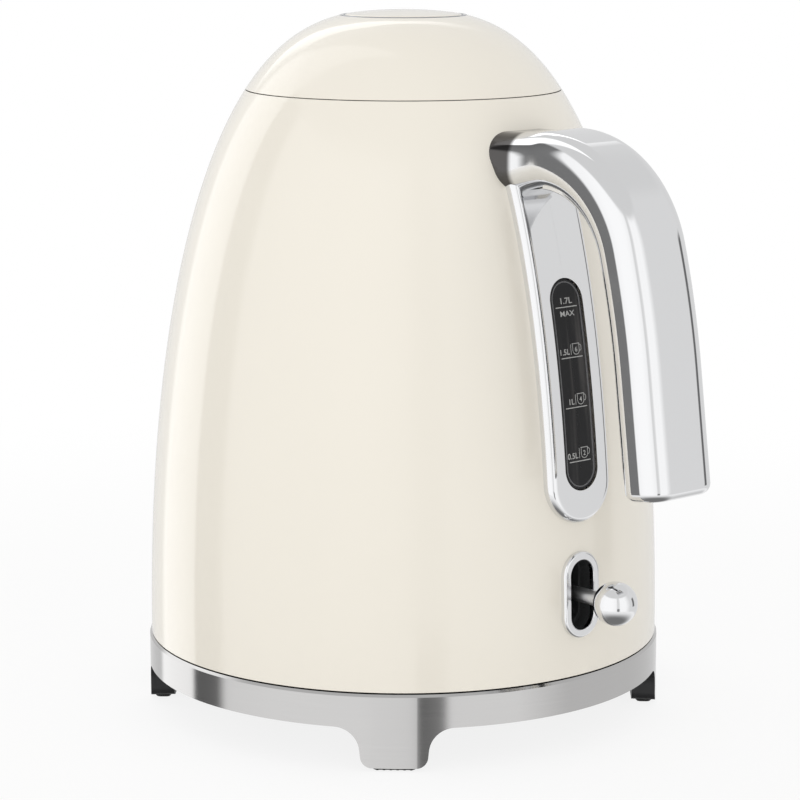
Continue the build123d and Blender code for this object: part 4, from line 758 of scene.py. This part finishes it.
def filleted(corners):
    """Open line of (x, z, radius) corners with each corner rounded."""
    line = [corners[0][:2]]
    for before, (x, z, radius), after in zip(corners, corners[1:], corners[2:]):
        here = Vector((x, z))
        u = (Vector(before[:2]) - here).normalized()
        v = (Vector(after[:2]) - here).normalized()
        half = u.angle(v) / 2
        centre = here + (u + v).normalized() * (radius / math.sin(half))
        start = here + u * (radius / math.tan(half)) - centre
        end = here + v * (radius / math.tan(half)) - centre
        sweep = (math.atan2(end.y, end.x) - math.atan2(start.y, start.x) + math.pi) % (2 * math.pi) - math.pi
        first = math.degrees(math.atan2(start.y, start.x))
        line += arc(centre, radius, first, first + math.degrees(sweep), 12)
    return line + [corners[-1][:2]]


def footed_ring():
    reach = LEG_SPREAD + 1.2 * LEG_OGEE
    corners = [(0, PAD_PROUD, 0), (LEG_HALF, PAD_PROUD, LEG_CORNER)]
    corners += [(LEG_SPREAD, FLOOR_TO_RING, LEG_OGEE), (reach, FLOOR_TO_RING, 0)]
    half = filleted(corners)
    inside, shelf = BASE_RADIUS - RING_WALL, FLOOR_TO_RING + RING_WALL
    columns = []
    for leg in range(4):
        middle = LEG_TURN + 90 * leg
        outline = [(-y, z) for y, z in half[:0:-1]] + half
        for y, z in outline:
            turn = math.asin(y / BASE_RADIUS)
            columns.append((math.radians(middle) + turn, z, (BASE_RADIUS - LEG_DEPTH) / math.cos(turn)))
        edge = math.degrees(math.asin(reach / BASE_RADIUS))
        for i in range(25):
            turn = middle + edge + (90 - 2 * edge) * i / 24
            columns.append((math.radians(turn), FLOOR_TO_RING, inside))
    loops = []
    for turn, low, depth in columns:
        section = [(BASE_RADIUS, low), (BASE_RADIUS, FLOOR_TO_RING + 2), (BASE_RADIUS, RING_TOP - RING_BEVEL)]
        section += [(BASE_RADIUS - RING_BEVEL, RING_TOP), (inside, RING_TOP), (inside, shelf)]
        section += [(depth, shelf), (depth, low)]
        loops.append([(r * math.cos(turn), r * math.sin(turn), z) for r, z in section])
    ledge = [(inside - LEDGE, DECK_UNDER - 2), (inside + 0.5, DECK_UNDER - 2), (inside + 0.5, DECK_UNDER)]
    ledge.append((inside - LEDGE, DECK_UNDER))
    piece = loose("footed_ring", merged("footed_ring", skin(loops, True), turned(ledge, 192)))
    # Faces below the ring's band and inside its outer face, the legs' cheeks and soles, take the second
    # finish, the black moulding
    for face in piece.data.polygons:
        x, y, z = face.center / MM
        face.material_index = int(z < FLOOR_TO_RING - 0.3 and math.hypot(x, y) < BASE_RADIUS - 0.5)
    return piece


def build_tree(name, inputs):
    """Empty geometry tree with named inputs; gives the tree, its two ends and the inputs' identifiers."""
    tree = bpy.data.node_groups.new(name, "GeometryNodeTree")
    tree.interface.new_socket("Geometry", in_out="OUTPUT", socket_type="NodeSocketGeometry")
    tree.interface.new_socket("Geometry", in_out="INPUT", socket_type="NodeSocketGeometry")
    keys = {}
    for label, kind in inputs:
        keys[label] = tree.interface.new_socket(label, in_out="INPUT", socket_type=kind).identifier
    return tree, tree.nodes.new("NodeGroupInput"), tree.nodes.new("NodeGroupOutput"), keys


def place(tree, kind, settings=None, links=None):
    node = tree.nodes.new(kind)
    for name, value in (settings or {}).items():
        setattr(node, name, value)
    for name, value in (links or {}).items():
        if isinstance(value, bpy.types.NodeSocket):
            tree.links.new(value, node.inputs[name])
        else:
            node.inputs[name].default_value = value
    return node


def circle_tree():
    """Sets copies of one item round the upright axis."""
    inputs = [("Item", "NodeSocketObject"), ("Count", "NodeSocketInt"), ("First angle", "NodeSocketFloat")]
    inputs += [("Step", "NodeSocketFloat"), ("Finish", "NodeSocketMaterial")]
    tree, given, end, keys = build_tree("set_round_the_axis", inputs)
    item = place(tree, "GeometryNodeObjectInfo", None, {"Object": given.outputs["Item"]})
    points = place(tree, "GeometryNodePoints", None, {"Count": given.outputs["Count"]})
    index = place(tree, "GeometryNodeInputIndex")
    turn = place(tree, "ShaderNodeMath", {"operation": "MULTIPLY_ADD"})
    values = (index.outputs[0], given.outputs["Step"], given.outputs["First angle"])
    for socket, value in zip(turn.inputs, values):
        tree.links.new(value, socket)
    spin = place(tree, "ShaderNodeCombineXYZ", None, {"Z": turn.outputs[0]})
    links = {"Points": points.outputs[0], "Instance": item.outputs["Geometry"], "Rotation": spin.outputs[0]}
    copies = place(tree, "GeometryNodeInstanceOnPoints", None, links)
    plain = place(tree, "GeometryNodeRealizeInstances", None, {"Geometry": copies.outputs[0]})
    links = {"Geometry": plain.outputs[0], "Material": given.outputs["Finish"]}
    dressed = place(tree, "GeometryNodeSetMaterial", None, links)
    tree.links.new(dressed.outputs[0], end.inputs[0])
    return tree, keys


def bead_tree():
    """Draws a round bead along the edges of a mesh."""
    inputs = [("Bead radius", "NodeSocketFloat"), ("Sides", "NodeSocketInt")]
    inputs += [("Finish", "NodeSocketMaterial")]
    tree, given, end, keys = build_tree("bead_along_a_line", inputs)
    line = place(tree, "GeometryNodeMeshToCurve", None, {"Mesh": given.outputs["Geometry"]})
    links = {"Radius": given.outputs["Bead radius"], "Resolution": given.outputs["Sides"]}
    section = place(tree, "GeometryNodeCurvePrimitiveCircle", None, links)
    links = {"Curve": line.outputs[0], "Profile Curve": section.outputs[0]}
    bead = place(tree, "GeometryNodeCurveToMesh", None, links)
    plain = place(tree, "GeometryNodeRealizeInstances", None, {"Geometry": bead.outputs[0]})
    links = {"Geometry": plain.outputs[0], "Material": given.outputs["Finish"]}
    dressed = place(tree, "GeometryNodeSetMaterial", None, links)
    tree.links.new(dressed.outputs[0], end.inputs[0])
    return tree, keys


def run_tree(piece, tree, keys, values):
    step = piece.modifiers.new("build", "NODES")
    step.node_group = tree
    for label, value in values.items():
        step[keys[label]] = value
    return settled(piece)


def screw_item(radius, under, length):
    """One cross-recessed screw at its radius, head down."""
    top = SCREW_HEAD_HEIGHT
    profile = [(0, top), (1.0, top * 0.99), (2.0, top * 0.9), (2.6, top * 0.7)]
    profile += [(SCREW_HEAD, top * 0.3), (SCREW_HEAD, 0), (SCREW_SHANK, 0)]
    profile += [(SCREW_SHANK, SCREW_POINT - length), (SCREW_SHANK - SCREW_POINT, -length), (0, -length)]
    piece = loose("screw", merged("screw", turned(profile, 28, False)))
    low, high = top - RECESS_DEPTH, top + 1
    for a, b in ((RECESS_SHORT, RECESS_LONG), (RECESS_LONG, RECESS_SHORT)):
        corners = [(a, b), (-a, b), (-a, -b), (a, -b)]
        cut(piece, merged("recess", capped([[(x, y, z) for x, y in corners] for z in (low, high)])))
    for vertex in piece.data.vertices:
        x, y, z = vertex.co
        vertex.co = (x + radius * MM, -y, under * MM - z)
    return piece


def ribbed_pad():
    """One foot pad at its leg: round-cornered block with ribs across its sole."""
    middle = BASE_RADIUS - LEG_DEPTH / 2
    block = []
    for z, shrink in ((SOLE, PAD_EDGE), (SOLE + PAD_EDGE, 0.0), (PAD_PROUD + PAD_RECESS, 0.0)):
        section = rounded_bar(PAD_WIDTH, PAD_DEPTH, PAD_DEPTH / 3, shrink)
        block.append([(middle + b, a, z) for a, b in section])
    forms = [closing(block)]
    reach = PAD_DEPTH / 2 - RIB_INSET
    for i in range(RIBS):
        y = (i - (RIBS - 1) / 2) * PAD_WIDTH / RIB_SHARE
        rib = []
        for z, half in ((0.0, RIB_TIP), (SOLE + RIB_SINK, RIB_ROOT)):
            corners = ((1, -half), (1, half), (-1, half), (-1, -half))
            rib.append([(middle + side * reach, y + w, z) for side, w in corners])
        forms.append(capped(rib))
    return loose("pad", merged("pad", *forms))


def set_round(name, item, first, count, finish, tree, keys):
    piece = loose(name, bpy.data.meshes.new(name))
    values = {"Item": item, "Count": count, "First angle": math.radians(first)}
    values.update({"Step": 2 * math.pi / count, "Finish": finish})
    run_tree(piece, tree, keys, values)
    bpy.data.objects.remove(item)
    return piece


# Level marks

def lens_point(y, z, lift):
    return (shell_radius(z, -LENS_PROUD - lift), y, z)


def lettering(text, size, y, z, anchor, spread=1.22):
    """Flat letters on the lens, standing on height z."""
    letters = bpy.data.curves.new("letters", "FONT")
    letters.body = text
    letters.size = size
    letters.align_x = anchor
    letters.resolution_u = 6
    letters.offset = size * 0.012
    piece = loose("letters", letters)
    bpy.context.view_layer.update()
    mesh = bpy.data.meshes.new_from_object(piece.evaluated_get(bpy.context.evaluated_depsgraph_get()))
    points = [lens_point(y + v.co.x * spread, z + v.co.y, MARK_LIFT) for v in mesh.vertices]
    faces = [tuple(face.vertices) for face in mesh.polygons]
    bpy.data.objects.remove(piece)
    return points, faces


def stroke(line, width):
    """Flat ribbon along (y, z) points."""
    points, faces = [], []
    for i, (y, z) in enumerate(line):
        before, after = line[max(i - 1, 0)], line[min(i + 1, len(line) - 1)]
        run = Vector((after[0] - before[0], after[1] - before[1])).normalized()
        for side in (-1, 1):
            aside = (y - run.y * side * width / 2, z + run.x * side * width / 2)
            points.append(lens_point(*aside, MARK_LIFT))
        if i:
            faces.append((2 * i - 2, 2 * i - 1, 2 * i + 1, 2 * i))
    return points, faces


def jug(y, z, size):
    """Outline of a cup with its handle on the right."""
    cup = [(-0.46, 1.12), (-0.46, 0.42), (-0.40, 0.20), (-0.24, 0.06), (-0.06, 0.0)]
    cup += [(0.06, 0.0), (0.24, 0.06), (0.40, 0.20), (0.46, 0.42), (0.46, 1.12)]
    ear = [(0.46, 0.98), (0.66, 0.96), (0.74, 0.84), (0.74, 0.50), (0.66, 0.38), (0.45, 0.36)]
    brim = [(-0.53, 1.12), (0.53, 1.12)]
    return [stroke([(y + a * size, z + b * size) for a, b in line], FINE_RULE) for line in (cup, ear, brim)]


def level_marks():
    forms = []
    for z, label, cups in MARKS:
        forms.append(stroke([(-4.9 + 0.7 * i, z) for i in range(15)], RULE_WIDTH))
        if cups:
            forms.append(lettering(label, 2.7, -0.8, z + 1.1, "RIGHT", 1.05))
            forms.append(stroke([(-0.15, z + 0.9), (-0.15, z + 4.3)], FINE_RULE))
            forms += jug(2.2, z + 0.85, 3.2)
            forms.append(lettering(cups, 2.3, 2.2, z + 1.75, "CENTER", 1.0))
        else:
            forms.append(lettering(label, 2.8, 0, z + 1.1, "CENTER"))
            forms.append(lettering("MAX", 2.5, 0, z - 3.0, "CENTER"))
    return loose("level_marks", merged("level_marks", *forms))


def lens_bead(tree, keys):
    """Fine line moulded round the inside of the lens, paler grey than the lens as a painted highlight along
    its inner edge.
    """
    outline = on_slab(stadium(LENS_WIDTH, LENS_LOW, LENS_TOP, BEAD_INSET, 48, 20), LENS_PROUD)
    mesh = bpy.data.meshes.new("lens_bead")
    edges = [(i, (i + 1) % len(outline)) for i in range(len(outline))]
    mesh.from_pydata([(x * MM, y * MM, z * MM) for x, y, z in outline], edges, [])
    values = {"Bead radius": BEAD_RADIUS * MM, "Sides": 8, "Finish": FINISHES["grey_plastic"]}
    return run_tree(loose("lens_bead", mesh), tree, keys, values)


# Every piece on its body

paint, steel, plate = FINISHES["cream_paint"], FINISHES["stainless"], FINISHES["bright_metal"]
fit(painted_body(), "kettle", "cream_paint", [paint, steel], "body_shell")
fit(pouring_beak(), "kettle", "cream_paint", [paint], "pouring_beak", crease=50)
fit(domed_lid(), "lid", "cream_paint", [paint], "lid_shell")
fit(lid_cap(), "button", "cream_plastic", [FINISHES["cream_plastic"]], "lid_button")
fit(cap_collar(), "lid", "bright_metal", [COLLAR_PLATE_PAINTED_DARK], "lid_button_collar")
fit(bright_handle(), "kettle", "bright_metal", [HANDLE_PLATE_PAINTED_ROOT], "handle_shell")
fit(grip_strip(), "kettle", "bright_metal", [plate], "handle_inner_cover")
fit(back_plate(), "kettle", "bright_metal", [plate], "backplate")
fit(level_lens(), "kettle", "smoked_lens", [FINISHES["smoked_lens"]], "level_window")
fit(lever_surround(), "kettle", "bright_metal", [plate], "lever_bezel")
for rod, node, finish in zip(lever_rod(), ("lever_stem", "lever_knob"), (SATIN_STEM, plate)):
    fit(rod, "lever", "bright_metal", [finish], node)
fit(footed_ring(), "base", "base_metal", [FINISHES["base_metal"], FINISHES["dark_plastic"]], "base_ring")
circle, circle_keys = circle_tree()
rubber, zinc = FINISHES["rubber"], FINISHES["screw_steel"]
pads = set_round("ribbed_pads", ribbed_pad(), LEG_TURN, 4, rubber, circle, circle_keys)
fit(pads, "base", "rubber", [rubber], "foot_pads")
for name, body, node, radius, first, count, under, length in SCREW_SETS:
    screws = set_round(name, screw_item(radius, under, length), first, count, zinc, circle, circle_keys)
    fit(screws, body, "screw_steel", [zinc], node)
fit(lens_bead(*bead_tree()), "kettle", "grey_plastic", [FINISHES["grey_plastic"]])
fit(level_marks(), "kettle", "grey_plastic", [PRINT])


# Studio

TOWARDS, RIGHTWARDS = (0.75471, -0.65606, 0.0), (0.65606, 0.75471, 0.0)
# Light round the object: (degrees from the camera, level). The last two give the strip's two edges.
WALLS = [(-180, 0.78), (-142, 0.78), (-138, 1.5), (-109, 1.5), (-107, 0.16), (-91, 0.22), (-86, 1.12)]
WALLS += [(-60, 1.18), (-20, 1.18), (2, 1.1), (7, 0.8), (16, 0.86), (21, 1.14), (52, 1.14), (78, 0.82)]
WALLS += [(112, 0.82), (118, 0.8), (180, 0.78)]
ROOF = [(-180, 0.76), (-140, 0.76), (-136, 1.3), (-108, 1.3), (-103, 0.76), (180, 0.76)]
LOW_GAP = [(-180, 0.0), (5, 0.0), (7, 0.62), (18, 0.55), (20, 0.0), (180, 0.0)]
SIDE_GAP = [(-180, 0.0), (93, 0.0), (96, 0.66), (106, 0.66), (111, 0.0), (180, 0.0)]
STRIP = [(-180, 1.2), (-158, 1.2), (-150, 0.8), (-144, 0.0), (160, 0.0), (174, 0.9), (180, 1.2)]
STRIP_EDGE_LOW = [(-180, 0.61), (-167, 0.54), (-155, 0.33), (-148, 0.25), (150, 0.25), (165, 0.54)]
STRIP_EDGE_LOW += [(180, 0.61)]
STRIP_EDGE_TOP = [(-180, 0.70), (-167, 0.73), (-155, 0.66), (-148, 0.60), (150, 0.46), (165, 0.66)]
STRIP_EDGE_TOP += [(180, 0.70)]
# Heights, as the upward part of a ray's direction, between which each light comes or goes
LOW_GAP_END, SIDE_GAP_START, SIDE_GAP_END = (-0.26, -0.19), (-0.22, -0.18), (0.22, 0.32)
ROOF_START, WALLS_START, BELOW_END = (0.60, 0.70), (-0.5, -0.42), (-0.93, -0.52)
STRIP_SOFT, BELOW_DROP = 0.02, 0.8
FLOOR_SIZE, FLOOR_TONE, FLOOR_WHITE = 0.6, (0.9, 0.9, 0.9, 1.0), 0.86
WHITE = (1.0, 1.0, 1.0, 1.0)
CAMERA_AWAY, CAMERA_ASIDE, CAMERA_HEIGHT, CAMERA_DIP, CAMERA_TURN = 0.9945, 0.0012, 0.2955, 10.61, 49


def ring_of_panels(start, turn, panels):
    """Light level round the object from (degrees from the camera, level) pairs."""
    top = max(level for _, level in panels)
    stops = [((angle + 180) / 360, (level / top,) * 3) for angle, level in panels]
    return start.node("ShaderNodeValToRGB", {"stops": stops}, {"Fac": turn}) * top


def studio_world():
    """White to the camera; to the object, soft panels and dark gaps as a product studio has."""
    world = bpy.data.worlds.new("studio")
    world.use_nodes = True
    world.node_tree.nodes.clear()
    start = Tone(world.node_tree)
    ray = start.node("ShaderNodeTexCoord", output="Generated")
    turn = ray.maths("ARCTAN2", ray.along(RIGHTWARDS), ray.along(TOWARDS)) / (2 * math.pi) + 0.5
    height = ray.parts()[2]
    rings = (WALLS, ROOF, LOW_GAP, SIDE_GAP, STRIP, STRIP_EDGE_LOW, STRIP_EDGE_TOP)
    walls, roof, low_gap, side_gap, strip, strip_low, strip_top = (
        ring_of_panels(start, turn, panels) for panels in rings)
    level = walls - low_gap * (1.0 - height.fade(*LOW_GAP_END))
    level = level - side_gap * height.fade(*SIDE_GAP_START) * (1.0 - height.fade(*SIDE_GAP_END))
    level = level + height.fade(*ROOF_START) * (roof - level)
    over, past = (height - strip_low).fade(0.0, STRIP_SOFT), (height - strip_top).fade(-STRIP_SOFT, 0.0)
    level = level + strip * over * (1.0 - past)
    level = 1.0 + height.fade(*WALLS_START) * (level - 1.0)
    level = level - (1.0 - height.fade(*BELOW_END)) * BELOW_DROP
    path = start.node("ShaderNodeLightPath").socket.node.outputs
    seen = Tone(start.tree, path["Is Camera Ray"]) + Tone(start.tree, path["Is Transmission Ray"])
    level = level + seen * (1.0 - level)
    glow = start.node("ShaderNodeBackground", None, {"Strength": level, "Color": WHITE})
    start.node("ShaderNodeOutputWorld", None, {"Surface": glow})
    scene.world = world


def studio_floor():
    """Round white table, clear from below. Its rim fades into the white behind it."""
    turns = [2 * math.pi * i / 96 for i in range(96)]
    edge = [(FLOOR_SIZE * math.cos(a), FLOOR_SIZE * math.sin(a), 0) for a in turns]
    mesh = bpy.data.meshes.new("studio_floor")
    mesh.from_pydata(edge, [], [tuple(range(len(edge)))])
    floor = loose("studio_floor", mesh)
    paper = bpy.data.materials.new("white_sweep")
    paper.use_nodes = True
    paper.node_tree.nodes.clear()
    start = Tone(paper.node_tree)
    x, y, _ = start.node("ShaderNodeTexCoord", output="Object").parts()
    out = x.maths("SQRT", x * x + y * y)
    matt = start.node("ShaderNodeBsdfDiffuse", None, {"Color": FLOOR_TONE})
    white = start.node("ShaderNodeEmission", None, {"Color": WHITE, "Strength": 1.0})
    path = start.node("ShaderNodeLightPath").socket.node.outputs
    camera, glossy, through = (Tone(paper.node_tree, path[n]) for n in
                               ("Is Camera Ray", "Is Glossy Ray", "Is Transmission Ray"))
    rim = out.fade(FLOOR_SIZE * 0.35, FLOOR_SIZE * 0.95)
    share = (camera + through) * (rim * (1 - FLOOR_WHITE) + FLOOR_WHITE)
    both = start.node("ShaderNodeMixShader", None, {0: share, 1: matt, 2: white})
    clear = start.node("ShaderNodeBsdfTransparent")
    under = start.node("ShaderNodeNewGeometry", output="Backfacing")
    hidden = glossy.maths("MAXIMUM", glossy, under)
    both = start.node("ShaderNodeMixShader", None, {0: hidden, 1: both, 2: clear})
    start.node("ShaderNodeOutputMaterial", None, {"Surface": both})
    mesh.materials.append(paper)


def studio_camera():
    lens = bpy.data.cameras.new("camera")
    lens.lens, lens.sensor_width, lens.clip_end = 127.1, 36.0, 50.0
    camera = bpy.data.objects.new("camera", lens)
    scene.collection.objects.link(camera)
    spot = Vector(TOWARDS) * CAMERA_AWAY - Vector(RIGHTWARDS) * CAMERA_ASIDE
    camera.location = (spot.x, spot.y, CAMERA_HEIGHT)
    camera.rotation_euler = (math.radians(90 - CAMERA_DIP), 0, math.radians(CAMERA_TURN))
    scene.camera = camera


studio_world()
studio_floor()
studio_camera()
scene.view_settings.view_transform = "Standard"
